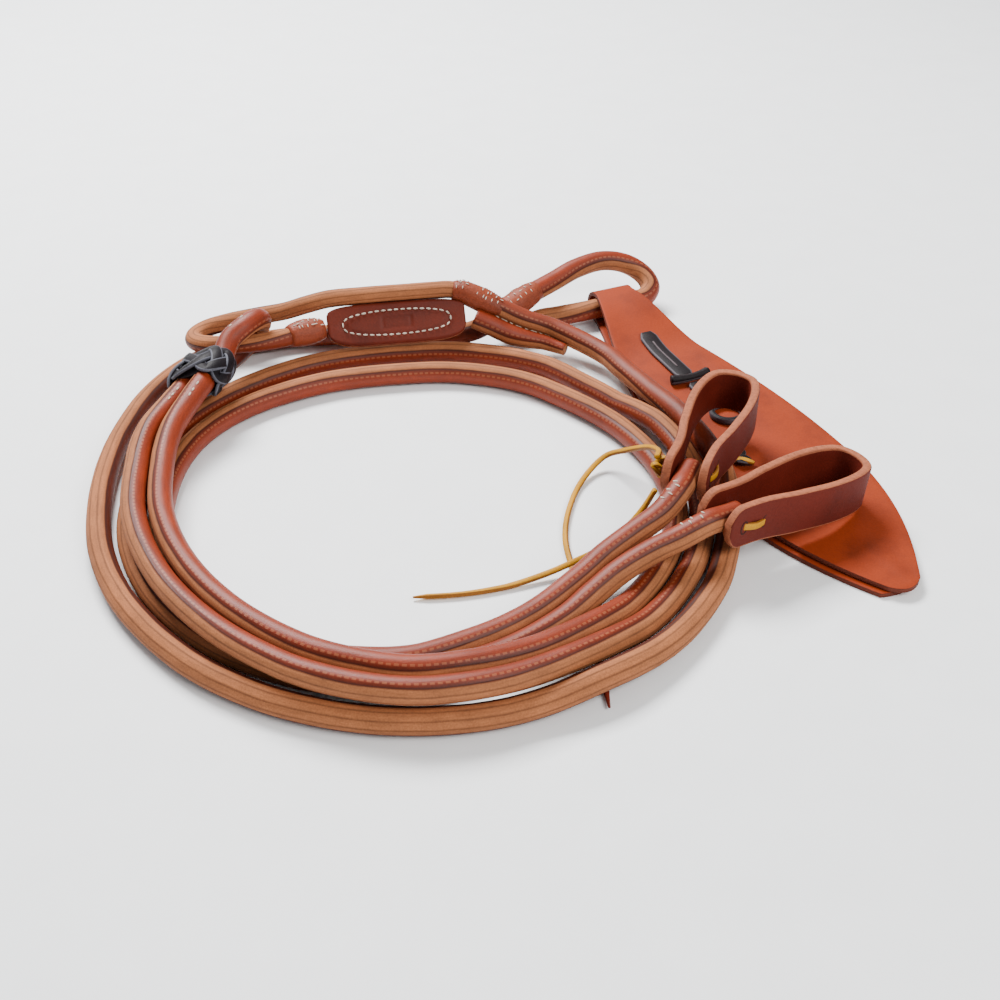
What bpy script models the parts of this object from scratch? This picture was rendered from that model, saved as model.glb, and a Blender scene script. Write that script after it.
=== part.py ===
"""Round-sewn leather romal reins, laid down in a loose coil. Metres, +Z up.

Two rolled reins leave a braided knot, run one and a half turns round the coil and end in flat bit
loops. Beyond the knot they form a loop that is linked with the connector, a flat panel with a rolled
strand along its top edge. The romal strand leaves the panel, runs once round the coil at floor level
and ends in the loop that carries the folded popper.
"""

import math

import bmesh
import bpy
from mathutils import Matrix, Vector

MM = 0.001

# ---------------------------------------------------------------- driving sizes
REIN_DIAMETER = 0.0110      # rolled reins
ROMAL_DIAMETER = 0.0110     # rolled romal strand and its loops
LINK_DIAMETER = 0.0092      # rolled strand of the connector
GAP = 0.0003                # clearance between touching pieces
TUBE_STEP = 0.0160          # spacing of the points along a rolled strand
FINE_STEP = 0.0065          # the same on tight loops
TAIL_STEP = 0.0075          # the same on the loose lace tails
HUMP_REACH = 0.0240         # how far a strand's hump over a lace reaches to each side

COIL_CENTRE = Vector((-0.0382, -0.0376, 0.0))   # centre of the coil on the floor

STRAP_WIDTH = 0.0200        # bit straps, standing on edge
STRAP_THICKNESS = 0.0040
STRAP_LENGTH = 0.0840       # from the throat to the far end of a bit loop
STRAP_BOW = 0.0050          # how far each leg bows out beyond the throat
STRAP_SEAT = 0.0200         # length over which the legs run parallel
REIN_TONGUE = 0.0130        # length of rein held between a strap's legs
LACE_THICKNESS = 0.0014
LACE_WIDTH = 0.0036
LACE_SPAN = 0.0120          # visible length of the lace between two slits
LACE_AT = 0.0090            # from the throat's mouth to where the loop bends up
LACE_SHIFT = 0.0050         # from the frame's origin, towards the far end, to the lace
LACE_KNOT_SIZE = (0.0042, 0.0030, 0.0036)
STRAP_STEP = 0.0050         # spacing of the points along a strap
TAIL_DIAMETER = 0.0026      # loose lace tails

PANEL_LENGTH = 0.0720
PANEL_HEIGHT = 0.0220
PANEL_LAYER = 0.0024        # thickness of each of the panel's two layers
PANEL_LEAN = math.radians(42.0)
PANEL_TURN = math.radians(9.5)
PANEL_ANCHOR = 15           # the connector's point that the panel's top edge hangs from
PANEL_SHIFT = 0.0035        # how far left of that point the panel's middle lies
THREAD_DIAMETER = 0.0010
OVAL_LENGTH = 0.0560        # oval row of stitches on the panel
OVAL_HEIGHT = 0.0130

KNOT_LENGTH = 0.0220        # along the reins
KNOT_WALL = 0.0040
KNOT_ROUNDING = 0.0018
KNOT_PLAY = 0.0006          # clearance round the strands inside the knot
KNOT_SPLICE = 0.0015        # from the knot's middle to where each strand's piece ends inside it
KNOT_STRAIGHT = 0.0135      # from the knot's middle, how far the strands run straight

THROAT_LENGTH = 0.0200      # sewn sleeve at the root of the popper loop
THROAT_WIDTH = 0.0140
THROAT_THICKNESS = 0.0115
THROAT_ROUNDING = 0.0030

POPPER_LENGTH = 0.2590      # from the fold to the tip
POPPER_WIDTH = 0.0740       # at its widest
POPPER_NECK = 0.0220        # width at the fold
POPPER_TIP = 0.0160         # width of the cut tip
POPPER_LEATHER = 0.0022
POPPER_LAYER_GAP = 0.0004   # air between the two layers
POPPER_PLAY = 0.0024        # room inside the fold for the popper to swing
POPPER_DROP = 0.0550        # length over which the upper layer comes down to the lower one
POPPER_FOLD_GAP = 0.0004    # clearance of the fold round the loop
OVER_PLAY = 0.0008          # clearance under a strand that lies on the popper
LAYER_SHIFT = 0.0030        # sideways offset of the lower layer at the tip

TIE_WIDTH = 0.0100
TIE_THICKNESS = 0.0016
TIE_FLANGE = 0.0210         # length of the rolled cross piece of the tie
TIE_ROLL = 0.0048           # its thickness
TIE_START = 0.0365          # from the fold to the tie's upper end
TIE_LENGTH = 0.0440
TIE_TAIL_LENGTH = 0.0220
TIE_CURL = 0.0075           # radius of the tail's curl
TIE_CURL_WIDTH = 0.0032     # thickness of the curled lace
TIE_KNOT_AT = 0.1560        # from the fold to the tie's lower fastening
TIE_KNOT_SIDE = -0.0150     # sideways from the popper's middle to the same
TIE_KNOT_SIZE = (0.0100, 0.0070, 0.0030)

# ---------------------------------------------------------------- looks: colour, roughness
ORANGE = ((0.44, 0.13, 0.04), 0.42)     # grain side of the rolled leather
TAN = ((0.42, 0.21, 0.10), 0.65)        # rolled leather with its cut edge out
POPPER = ((0.58, 0.16, 0.03), 0.45)
DARK = ((0.035, 0.018, 0.02), 0.40)     # braided knot and the popper's tie
YELLOW = ((0.62, 0.40, 0.07), 0.50)     # lace
WHITE = ((0.82, 0.78, 0.68), 0.70)      # thread

# ---------------------------------------------------------------- routes
# Coil stations are (degrees, radius mm, height mm) about the coil's centre. Heights are those of the
# strand's middle. Other points are (x, y, height) in millimetres from the coil's centre.
FLOOR = 5.5                 # middle of a strand on the floor
ON_TOP = 17.0               # middle of a strand on the second layer
OVER = (ROMAL_DIAMETER / 2 + 2 * POPPER_LEATHER + POPPER_LAYER_GAP + OVER_PLAY) / MM    # on the popper

KNOT_CENTRE = (-102.0, 83.5, 23.7)
KNOT_TURN = math.radians(77.0)
KNOT_TILT = math.radians(0.0)
KNOT_ROLL = math.radians(-25.0)     # the inner rein lies higher than the outer one
REIN_PITCH = REIN_DIAMETER + 0.0008     # spacing of the two reins inside the knot

REIN_RIGHT_COIL = [
    (150.7, 130.0, 20.2), (161, 127.5, 18.3), (172, 121.5, ON_TOP), (192, 115.5, ON_TOP),
    (213, 113.5, ON_TOP), (233, 115.8, ON_TOP), (251, 121.5, ON_TOP), (263, 126.0, ON_TOP),
    (275, 130.0, ON_TOP), (287, 130.5, 16.2), (299, 129.5, 13.0), (311, 129.0, 8.5),
    (323, 129.5, FLOOR), (337, 130.5, FLOOR), (350, 132.0, FLOOR), (364, 133.0, 6.4),
    (371, 132.8, 9.8), (378, 132.6, OVER), (386, 132.6, OVER), (393, 132.8, 8.6),
    (401, 133.2, FLOOR), (409, 134.4, FLOOR), (423, 139.5, FLOOR), (439, 139.0, FLOOR),
    (454, 136.5, FLOOR), (472, 135.5, FLOOR), (489, 133.0, FLOOR), (503, 130.5, FLOOR),
    (516, 127.0, FLOOR), (532, 122.5, FLOOR), (552, 119.0, FLOOR), (573, 116.0, FLOOR),
    (593, 114.6, FLOOR), (611, 114.0, FLOOR), (623, 113.2, FLOOR), (635, 112.4, FLOOR),
    (647, 107.8, FLOOR), (659, 105.8, FLOOR), (671, 105.3, 5.8), (680, 105.6, 8.4),
    (687.6, 109.3, 13.6), (694, 116.6, 18.6),
]
REIN_RIGHT_END = [(117.0, -45.6, 22.4)]

REIN_LEFT_COIL = [
    (149, 119.5, 24.8), (160, 115.8, 20.4), (172, 109.8, 17.2), (192, 103.8, 17.2),
    (213, 101.8, 17.2), (233, 104.2, 17.2), (251, 109.8, 17.2), (263, 114.2, 17.2),
    (275, 118.2, ON_TOP), (287, 118.6, 16.2), (299, 117.8, 12.6), (311, 117.2, 8.2),
    (323, 117.8, FLOOR), (337, 118.6, FLOOR), (350, 120.2, FLOOR), (363, 121.0, FLOOR),
    (378, 120.4, FLOOR), (393, 119.4, FLOOR), (408, 118.4, FLOOR), (423, 119.8, FLOOR),
    (439, 118.0, FLOOR), (454, 115.0, FLOOR), (472, 115.2, FLOOR), (489, 116.2, FLOOR),
    (503, 116.4, FLOOR), (516, 114.0, FLOOR), (532, 109.0, FLOOR), (552, 105.6, FLOOR),
    (573, 103.6, FLOOR), (593, 102.6, FLOOR), (611, 102.0, FLOOR), (623, 101.3, FLOOR),
    (635, 100.2, FLOOR), (647, 96.0, FLOOR), (659, 94.0, FLOOR), (671, 93.4, FLOOR),
    (683, 94.8, 7.6), (692, 98.7, 12.2), (699, 105.4, 17.2),
]
REIN_LEFT_END = [(110.8, -29.0, 22.6)]

ROMAL_START = [(28.8, 153.0, 30.0), (39.0, 151.4, 25.6), (55.0, 149.0, 18.6), (73.0, 146.2, 13.4)]
ROMAL_COIL = [
    (53, 160.5, 9.8), (46, 152.0, OVER), (38, 147.2, OVER), (27, 146.0, OVER), (14, 145.6, OVER),
    (3, 144.6, OVER), (-5, 143.9, 7.4), (-12, 143.2, FLOOR), (-23, 143.2, FLOOR),
    (-37, 142.5, FLOOR), (-49, 141.0, FLOOR), (-62, 138.5, FLOOR), (-75, 136.0, FLOOR),
    (-88, 133.4, FLOOR), (-100, 131.0, FLOOR), (-113, 129.0, FLOOR), (-128, 127.6, FLOOR),
    (-147, 127.8, FLOOR), (-163, 130.4, FLOOR), (-177, 134.0, FLOOR), (-192, 141.5, FLOOR),
    (-204, 150.6, FLOOR), (-216, 162.0, FLOOR), (-226, 169.8, FLOOR), (-235, 172.0, FLOOR),
    (-244, 168.4, FLOOR), (-254, 162.0, FLOOR), (-263, 157.0, FLOOR), (-270, 154.6, FLOOR),
]
ROMAL_END = [(17.0, 154.0, 6.2), (29.0, 153.0, 9.6)]

EYE_LEG = [
    (29.0, 143.6, 20.4), (37.0, 143.0, 18.2), (45.0, 142.1, 14.8), (60.0, 139.4, 9.4),
    (69.0, 136.6, 6.8), (75.5, 133.0, 6.0),
]
POPPER_LOOP = [
    (72.0, 186.0, 21.6), (85.0, 197.0, 24.0), (99.5, 205.5, 24.5),
    (113.0, 208.5, 21.5), (123.0, 205.5, 16.5), (127.0, 199.0, 12.0), (124.0, 193.2, 8.8),
    (117.0, 189.4, 8.3), (106.0, 184.5, 8.3), (95.0, 179.6, 8.3), (84.0, 176.6, 7.4),
    (74.0, 175.4, 6.0), (66.0, 173.4, 5.6), (59.0, 169.6, 5.0),
]
THROAT_CENTRE = (52.6, 169.0, 17.6)
THROAT_TURN = math.radians(42.0)
THROAT_TILT = math.radians(12.0)

FOLD_CENTRE = (106.0, 184.5, 8.3)
POPPER_HEADING = math.radians(-66.2)

CONNECTOR = [
    (-48.0, 132.4, 21.7), (-57.5, 128.4, 21.8), (-68.0, 121.8, 22.2), (-80.0, 116.4, 22.8),
    (-94.0, 113.8, 23.0),
    (-105.5, 115.2, 22.4), (-112.5, 121.5, 20.5), (-114.5, 130.5, 18.8), (-110.0, 139.0, 18.5),
    (-99.0, 144.5, 19.5), (-84.0, 147.0, 21.5), (-70.0, 146.0, 24.8), (-57.5, 144.4, 29.6),
    (-46.0, 144.4, 32.8), (-27.0, 147.0, 33.5), (-9.0, 150.0, 33.5), (9.0, 153.0, 33.5),
    (17.0, 154.2, 33.2), (25.8, 154.1, 31.4),
]
REIN_LOOP = [
    (-91.2, 104.6, 30.6), (-84.6, 112.0, 34.2), (-79.8, 120.0, 34.0), (-79.0, 126.8, 29.2),
    (-82.0, 128.8, 22.6), (-88.0, 125.6, 15.8), (-95.0, 118.4, 11.8), (-100.4, 111.2, 12.0),
    (-102.8, 105.6, 14.8), (-103.2, 101.2, 18.4),
]

LEFT_THROAT = (121.0, -15.0)
LEFT_HEADING = math.radians(67.0)
LEFT_BASE = 0.0176          # height of the left strap's lower edge
LEFT_DIP = math.radians(0.0)
RIGHT_THROAT = (131.5, -38.0)
RIGHT_HEADING = math.radians(34.6)
RIGHT_BASE = 0.0155
RIGHT_DIP = math.radians(6.0)

CURLED_START = (-0.02, 1.28, 5.0)   # where each tail leaves the lace knot, from its middle, mm
STRAIGHT_START = (-12.07, -2.32, -3.6)
CURLED_TAIL = [
    (112.6, 8.0, 29.6), (109.5, 20.0, 23.5), (102.0, 32.0, 14.0),
    (92.0, 38.5, 6.0), (81.0, 25.0, 1.8), (74.0, 3.0, 1.3), (71.5, -18.0, 1.3), (73.5, -38.0, 1.3),
    (76.5, -54.0, 1.3), (79.5, -75.0, 1.3), (82.0, -98.0, 1.3), (84.0, -122.0, 1.3),
]
STRAIGHT_TAIL = [
    (104.5, -14.5, 14.0), (97.0, -19.0, 7.0), (86.0, -29.5, 4.6),
    (74.5, -38.5, 4.6), (62.0, -44.5, 2.6), (45.0, -51.5, 1.3), (27.0, -56.0, 1.3), (7.0, -58.0, 1.3),
]

# ---------------------------------------------------------------- places and curves
def at(point):
    """World position of a point given in millimetres from the coil's centre."""
    return COIL_CENTRE + Vector(point) * MM


def around(station):
    """World position of a coil station (degrees, radius mm, height mm)."""
    degrees, radius, height = station
    turn = math.radians(degrees)
    return at((radius * math.cos(turn), radius * math.sin(turn), height))


def lifted(point):
    """The strands hump over the lace tail that runs out under the coil."""
    inner = at(CURLED_TAIL[-4])
    outer = at(CURLED_TAIL[-1])
    along = (outer - inner).to_2d()
    offset = (point - inner).to_2d()
    share = offset.dot(along) / along.length_squared
    if not -0.4 < share < 1.4:
        return point
    sideways = (offset - along * share).length
    rise = (TAIL_DIAMETER + 2 * GAP) * math.exp(-((sideways / HUMP_REACH) ** 2))
    return point + Vector((0, 0, rise))


def smooth(points, step):
    """Points about a step apart on one smooth curve through the given ones."""
    knots = [0.0]
    for a, b in zip(points, points[1:]):
        knots.append(knots[-1] + (b - a).length)
    last = len(points) - 1
    slopes = []
    for i in range(last + 1):
        before, after = max(i - 1, 0), min(i + 1, last)
        slopes.append((points[after] - points[before]) / (knots[after] - knots[before]))
    fine = []
    for i in range(last):
        span = knots[i + 1] - knots[i]
        pieces = max(8, int(span / 0.0005))
        for k in range(pieces):
            t = k / pieces
            fine.append(
                points[i] * (2 * t**3 - 3 * t**2 + 1)
                + slopes[i] * (span * (t**3 - 2 * t**2 + t))
                + points[i + 1] * (3 * t**2 - 2 * t**3)
                + slopes[i + 1] * (span * (t**3 - t**2))
            )
    fine.append(points[-1])
    lengths = [0.0]
    for a, b in zip(fine, fine[1:]):
        lengths.append(lengths[-1] + (b - a).length)
    count = max(2, round(lengths[-1] / step))
    result = []
    index = 0
    for k in range(count + 1):
        wanted = lengths[-1] * k / count
        while index < len(fine) - 2 and lengths[index + 1] < wanted:
            index += 1
        share = (wanted - lengths[index]) / max(lengths[index + 1] - lengths[index], 1e-9)
        result.append(fine[index].lerp(fine[index + 1], min(max(share, 0.0), 1.0)))
    return result


def knot_matrix():
    """Frame of the knot: X along the reins, Y across them."""
    turn = Matrix.Rotation(KNOT_TURN, 4, "Z") @ Matrix.Rotation(-KNOT_TILT, 4, "Y")
    return Matrix.Translation(at(KNOT_CENTRE)) @ turn @ Matrix.Rotation(KNOT_ROLL, 4, "X")


def in_knot(along, side):
    """A point of the left (+1) or right (-1) strand inside the knot."""
    return knot_matrix() @ Vector((along, side * REIN_PITCH / 2, 0.0))


def throat_matrix():
    turn = Matrix.Rotation(THROAT_TURN, 4, "Z") @ Matrix.Rotation(-THROAT_TILT, 4, "Y")
    return Matrix.Translation(at(THROAT_CENTRE)) @ turn


# ---------------------------------------------------------------- making pieces
def collection(name, hidden):
    made = bpy.data.collections.new(name)
    made.hide_render = hidden
    bpy.context.scene.collection.children.link(made)
    return made


def material_of(name, look):
    colour, roughness = look
    material = bpy.data.materials.new(name)
    material.use_nodes = True
    shader = material.node_tree.nodes["Principled BSDF"]
    shader.inputs["Base Color"].default_value = (*colour, 1.0)
    shader.inputs["Roughness"].default_value = roughness
    shader.inputs["Metallic"].default_value = 0.0
    return material


def add(name, data, look):
    data.materials.append(material_of(name, look))
    piece = bpy.data.objects.new(name, data)
    PARTS.objects.link(piece)
    return piece


def poly_curve(name, points, cyclic=False, dimensions="3D"):
    curve = bpy.data.curves.new(name, "CURVE")
    curve.dimensions = dimensions
    spline = curve.splines.new("POLY")
    spline.points.add(len(points) - 1)
    for item, (x, y, z) in zip(spline.points, points):
        item.co = (x, y, z, 1.0)
    spline.use_cyclic_u = cyclic
    return curve


def tube(name, points, diameter, look, cyclic=False, roundness=4):
    resting = [Vector((p.x, p.y, max(p.z, diameter / 2))) for p in points]
    curve = poly_curve(name, resting, cyclic)
    curve.bevel_depth = diameter / 2
    curve.bevel_resolution = roundness
    curve.use_fill_caps = not cyclic
    return add(name, curve, look)


def outline_plate(name, outlines, thickness, rounding, matrix, look):
    """A flat plate cut to one outline, or to an outer one and a hole."""
    curve = bpy.data.curves.new(name, "CURVE")
    curve.dimensions = "2D"
    curve.fill_mode = "BOTH"
    curve.extrude = thickness / 2 - rounding
    curve.bevel_depth = rounding
    curve.bevel_resolution = 1
    for outline in outlines:
        spline = curve.splines.new("POLY")
        spline.points.add(len(outline) - 1)
        for item, (x, y) in zip(spline.points, outline):
            item.co = (x, y, 0.0, 1.0)
        spline.use_cyclic_u = True
    piece = add(name, curve, look)
    piece.matrix_world = matrix
    return piece


def stadium(length, width, arc_points=10):
    """Outline of two half circles joined by straight sides."""
    radius = width / 2
    half = length / 2 - radius
    outline = []
    for side in (1, -1):
        for k in range(arc_points + 1):
            turn = math.pi * (k / arc_points - 0.5)
            x = side * (half + radius * math.cos(turn))
            outline.append((x, side * radius * math.sin(turn)))
    return outline


def block(name, size, rounding, matrix, look):
    """A block with rounded edges."""
    mesh = bpy.data.meshes.new(name)
    form = bmesh.new()
    bmesh.ops.create_cube(form, size=1.0)
    bmesh.ops.scale(form, vec=size, verts=form.verts)
    form.to_mesh(mesh)
    form.free()
    piece = add(name, mesh, look)
    piece.matrix_world = matrix
    edges = piece.modifiers.new("rounded edges", "BEVEL")
    edges.width = rounding
    edges.segments = 3
    return piece


def strip(name, rows, thickness, look, across=4, origin=Vector()):
    """A flat strip of leather through rows of (middle, half width vector)."""
    mesh = bpy.data.meshes.new(name)
    form = bmesh.new()
    bmesh.ops.create_grid(form, x_segments=len(rows) - 1, y_segments=across, size=0.5)
    for vertex in form.verts:
        row = round((vertex.co.x + 0.5) * (len(rows) - 1))
        middle, half = rows[row]
        vertex.co = middle + half * (2 * vertex.co.y) - origin
    form.to_mesh(mesh)
    form.free()
    piece = add(name, mesh, look)
    piece.location = origin
    body = piece.modifiers.new("leather", "SOLIDIFY")
    body.thickness = thickness
    body.offset = 0.0
    body.use_even_offset = True
    return piece


# ---------------------------------------------------------------- reins and knot
def make_reins():
    for name, side, coil_stations, end, strap in (
        ("rein_right", 1, REIN_RIGHT_COIL, REIN_RIGHT_END, right_frame()),
        ("rein_left", -1, REIN_LEFT_COIL, REIN_LEFT_END, left_frame()),
    ):
        route = [in_knot(-along, side) for along in (KNOT_SPLICE, KNOT_LENGTH / 2, KNOT_STRAIGHT)]
        route += [around(station) for station in coil_stations]
        route += [at(point) for point in end]
        route += [strap @ Vector((u - LACE_AT, 0, 0)) for u in (-0.004, 0.004, REIN_TONGUE)]
        points = [lifted(point) for point in smooth(route, TUBE_STEP)]
        tube(name, points, REIN_DIAMETER, ORANGE)


def make_rein_loop():
    inside = (KNOT_SPLICE, KNOT_LENGTH / 2, KNOT_STRAIGHT)
    route = [in_knot(along, -1) for along in inside]
    route += [at(point) for point in REIN_LOOP]
    route += [in_knot(along, 1) for along in reversed(inside)]
    tube("rein_end_loop", smooth(route, FINE_STEP), REIN_DIAMETER, ORANGE)


def make_knot():
    hole = REIN_DIAMETER + 2 * KNOT_PLAY + 2 * KNOT_ROUNDING
    hole_length = hole + REIN_PITCH
    wall = 2 * (KNOT_WALL - 2 * KNOT_ROUNDING)
    outlines = [stadium(hole_length + wall, hole + wall), stadium(hole_length, hole)]
    stand = Matrix(((0, 0, 1, 0), (1, 0, 0, 0), (0, 1, 0, 0), (0, 0, 0, 1)))
    outline_plate("rein_knot", outlines, KNOT_LENGTH, KNOT_ROUNDING, knot_matrix() @ stand, DARK)


# ---------------------------------------------------------------- connector and romal
def panel_matrix():
    """Frame of the panel's middle plane: X along its top edge, Y up its face, Z out of its front."""
    top = at(CONNECTOR[PANEL_ANCHOR])
    turn = Matrix.Rotation(PANEL_TURN, 4, "Z")
    lean = Matrix.Rotation(math.pi / 2 - PANEL_LEAN, 4, "X")
    drop = Matrix.Translation((-PANEL_SHIFT, -(LINK_DIAMETER / 2 + GAP + PANEL_HEIGHT / 2), 0))
    return Matrix.Translation(top) @ turn @ lean @ drop


def make_connector():
    tube("connector_strand", smooth([at(p) for p in CONNECTOR], FINE_STEP), LINK_DIAMETER, ORANGE)
    frame = panel_matrix()
    offset = (PANEL_LAYER + GAP) / 2
    outline = stadium(PANEL_LENGTH, PANEL_HEIGHT, 8)
    for name, side, look in (("panel_front", 1, ORANGE), ("panel_back", -1, TAN)):
        place = frame @ Matrix.Translation((0, 0, side * offset))
        outline_plate(name, [outline], PANEL_LAYER, 0.0, place, look)
    height = offset + PANEL_LAYER / 2 + GAP + THREAD_DIAMETER / 2
    oval = stadium(OVAL_LENGTH, OVAL_HEIGHT, 8)
    points = [frame @ Vector((x, y, height)) for x, y in oval]
    tube("panel_stitching", points, THREAD_DIAMETER, WHITE, cyclic=True, roundness=1)


def make_romal():
    route = [at(p) for p in ROMAL_START] + [around(s) for s in ROMAL_COIL]
    route += [at(p) for p in ROMAL_END]
    for before in (0.0110, 0.0010):
        route.append(throat_matrix() @ Vector((-THROAT_LENGTH / 2 - before, 0, 0)))
    points = [lifted(point) for point in smooth(route, TUBE_STEP)]
    tube("romal_strand", points, ROMAL_DIAMETER, TAN)
    tube("romal_eye_leg", smooth([at(p) for p in EYE_LEG], FINE_STEP), ROMAL_DIAMETER, ORANGE)
    size = (THROAT_LENGTH, THROAT_WIDTH, THROAT_THICKNESS)
    block("romal_throat", size, THROAT_ROUNDING, throat_matrix(), ORANGE)
    route = [throat_matrix() @ Vector((THROAT_LENGTH / 2 + 2 * GAP, 0, 0))]
    route += [at(p) for p in POPPER_LOOP]
    tube("popper_loop", smooth(route, FINE_STEP), ROMAL_DIAMETER, ORANGE)


# ---------------------------------------------------------------- popper
def popper_width(s):
    """Width of the popper at a distance from the fold."""
    widest = 0.62 * POPPER_LENGTH
    if s < widest:
        share = math.sin(0.5 * math.pi * s / widest)
        return POPPER_NECK + (POPPER_WIDTH - POPPER_NECK) * share
    share = 1 - ((s - widest) / (POPPER_LENGTH - widest)) ** 2.2
    return POPPER_TIP + (POPPER_WIDTH - POPPER_TIP) * share


def popper_point(s, v, z):
    """World position: s along the popper from the fold, v across it, z above the floor."""
    fold = at(FOLD_CENTRE)
    along = Vector((math.cos(POPPER_HEADING), math.sin(POPPER_HEADING), 0))
    across = Vector((-along.y, along.x, 0))
    flat = Vector((fold.x, fold.y, 0))
    return flat + along * s + across * v + Vector((0, 0, z))


def lower_height():
    return POPPER_LEATHER / 2


def upper_height(s):
    """Height of the middle of the upper layer."""
    low = lower_height() + POPPER_LEATHER + POPPER_LAYER_GAP
    high = FOLD_CENTRE[2] * MM + fold_radius()
    share = min(max(s / POPPER_DROP, 0.0), 1.0)
    return high + (low - high) * share * share * (3 - 2 * share)


def fold_radius():
    return ROMAL_DIAMETER / 2 + POPPER_FOLD_GAP + POPPER_LEATHER / 2


def make_popper():
    """One piece of leather folded round the loop: lower layer, fold, upper layer."""
    rows = []
    steps = 22
    for k in range(steps):
        s = POPPER_LENGTH * (1 - (k / steps))
        side = -LAYER_SHIFT * s / POPPER_LENGTH
        half = popper_point(0, popper_width(s) / 2, 0) - popper_point(0, 0, 0)
        rows.append((popper_point(s, side, lower_height()), half))
    half = popper_point(0, POPPER_NECK / 2, 0) - popper_point(0, 0, 0)
    arc_steps = 10
    radius = (upper_height(0) - lower_height()) / 2
    middle = (upper_height(0) + lower_height()) / 2
    for k in range(arc_steps + 1):
        turn = math.pi * k / arc_steps
        s = -POPPER_PLAY - radius * math.sin(turn)
        rows.append((popper_point(s, 0, middle - radius * math.cos(turn)), half))
    for k in range(steps + 1):
        s = POPPER_LENGTH * k / steps
        half = popper_point(0, popper_width(s) / 2, 0) - popper_point(0, 0, 0)
        rows.append((popper_point(s, 0, upper_height(s)), half))
    strip("popper", rows, POPPER_LEATHER, POPPER, across=4, origin=at(FOLD_CENTRE))


def tie_height(s, thickness):
    return upper_height(s) + POPPER_LEATHER / 2 + 1.5 * GAP + thickness / 2


def make_tie():
    """The dark lace that holds the popper's two layers together."""
    steps = 8
    rows = []
    for k in range(steps + 1):
        s = TIE_START + TIE_LENGTH * k / steps
        half_width = TIE_WIDTH / 2 * (0.6 if k in (0, steps) else 1.0)
        half = popper_point(0, half_width, 0) - popper_point(0, 0, 0)
        rows.append((popper_point(s, 0, tie_height(s, TIE_THICKNESS)), half))
    origin = at(FOLD_CENTRE)
    strip("popper_tie_tab", rows, TIE_THICKNESS, DARK, across=2, origin=origin)
    s = TIE_START + TIE_LENGTH + GAP + TIE_THICKNESS / 2 + TIE_ROLL / 2
    height = tie_height(s, TIE_ROLL)
    ends = [popper_point(s, side * TIE_FLANGE / 2, height) for side in (-1, 1)]
    tube("popper_tie_roll", ends, TIE_ROLL, DARK, roundness=2)
    start = s + TIE_ROLL / 2 + GAP + TIE_THICKNESS / 2
    rows = []
    for k in range(5):
        s = start + TIE_TAIL_LENGTH * k / 4
        half = popper_point(0, 0.4 * TIE_WIDTH, 0) - popper_point(0, 0, 0)
        rows.append((popper_point(s, 0, tie_height(s, TIE_THICKNESS)), half))
    strip("popper_tie_tail", rows, TIE_THICKNESS, DARK, across=2, origin=origin)
    centre = start + TIE_TAIL_LENGTH + TIE_CURL + TIE_CURL_WIDTH / 2 + 2 * GAP
    points = []
    for k in range(20):
        turn = 2 * math.pi * k / 20
        s = centre + TIE_CURL * math.cos(turn)
        v = TIE_CURL * math.sin(turn)
        points.append(popper_point(s, v, tie_height(s, TIE_CURL_WIDTH)))
    tube("popper_tie_curl", points, TIE_CURL_WIDTH, DARK, cyclic=True, roundness=2)
    height = tie_height(TIE_KNOT_AT, TIE_KNOT_SIZE[2])
    place = popper_point(TIE_KNOT_AT, TIE_KNOT_SIDE, height)
    turn = Matrix.Rotation(POPPER_HEADING, 4, "Z")
    block("popper_tie_knot", TIE_KNOT_SIZE, 0.5 * TIE_THICKNESS, Matrix.Translation(place) @ turn, DARK)


# ---------------------------------------------------------------- bit loops
def left_frame():
    return bit_matrix(LEFT_THROAT, LEFT_HEADING, LEFT_DIP, LEFT_BASE)


def right_frame():
    return bit_matrix(RIGHT_THROAT, RIGHT_HEADING, RIGHT_DIP, RIGHT_BASE)


def bit_matrix(throat, heading, dip, base):
    """Frame of a bit loop: X from the throat to the far end, Z up its edge, origin where it bends."""
    spot = at((*throat, 0)) + Vector((0, 0, base + STRAP_WIDTH / 2))
    turn = Matrix.Rotation(heading, 4, "Z") @ Matrix.Rotation(dip, 4, "Y")
    return Matrix.Translation(spot) @ turn @ Matrix.Translation((LACE_AT, 0, 0))


def strap_half():
    """Points of one leg from the throat to the far end, seen from above."""
    seat = REIN_DIAMETER / 2 + 2 * GAP + STRAP_THICKNESS / 2
    far = seat + STRAP_BOW
    leg = [Vector((0, seat, 0)), Vector((STRAP_SEAT, seat, 0))]
    leg.append(Vector((0.45 * STRAP_LENGTH, seat + 0.6 * STRAP_BOW, 0)))
    leg.append(Vector((STRAP_LENGTH - 1.6 * far, far, 0)))
    leg.append(Vector((STRAP_LENGTH - 0.29 * far, 0.71 * far, 0)))
    return leg


def make_bit_loop(name, frame, look):
    leg = strap_half()
    other = [Vector((p.x, -p.y, 0)) for p in reversed(leg)]
    points = smooth(leg + [Vector((STRAP_LENGTH, 0, 0))] + other, STRAP_STEP)
    shifted = [p - Vector((LACE_AT, 0, 0)) for p in points]
    curve = poly_curve(name, shifted, dimensions="2D")
    curve.fill_mode = "NONE"
    curve.extrude = STRAP_WIDTH / 2
    piece = add(name, curve, look)
    piece.matrix_world = frame
    body = piece.modifiers.new("leather", "SOLIDIFY")
    body.thickness = STRAP_THICKNESS
    body.offset = 0.0
    body.use_even_offset = True


def make_bit_lace(name, frame, side):
    """The stretch of lace that shows on a strap's outer face, between its two slits."""
    face = REIN_DIAMETER / 2 + STRAP_THICKNESS + 3 * GAP + LACE_THICKNESS / 2
    size = (LACE_SPAN, LACE_THICKNESS, LACE_WIDTH)
    place = frame @ Matrix.Translation((LACE_SHIFT, side * face, 0))
    block(name, size, 0.3 * LACE_THICKNESS, place, YELLOW)


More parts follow.
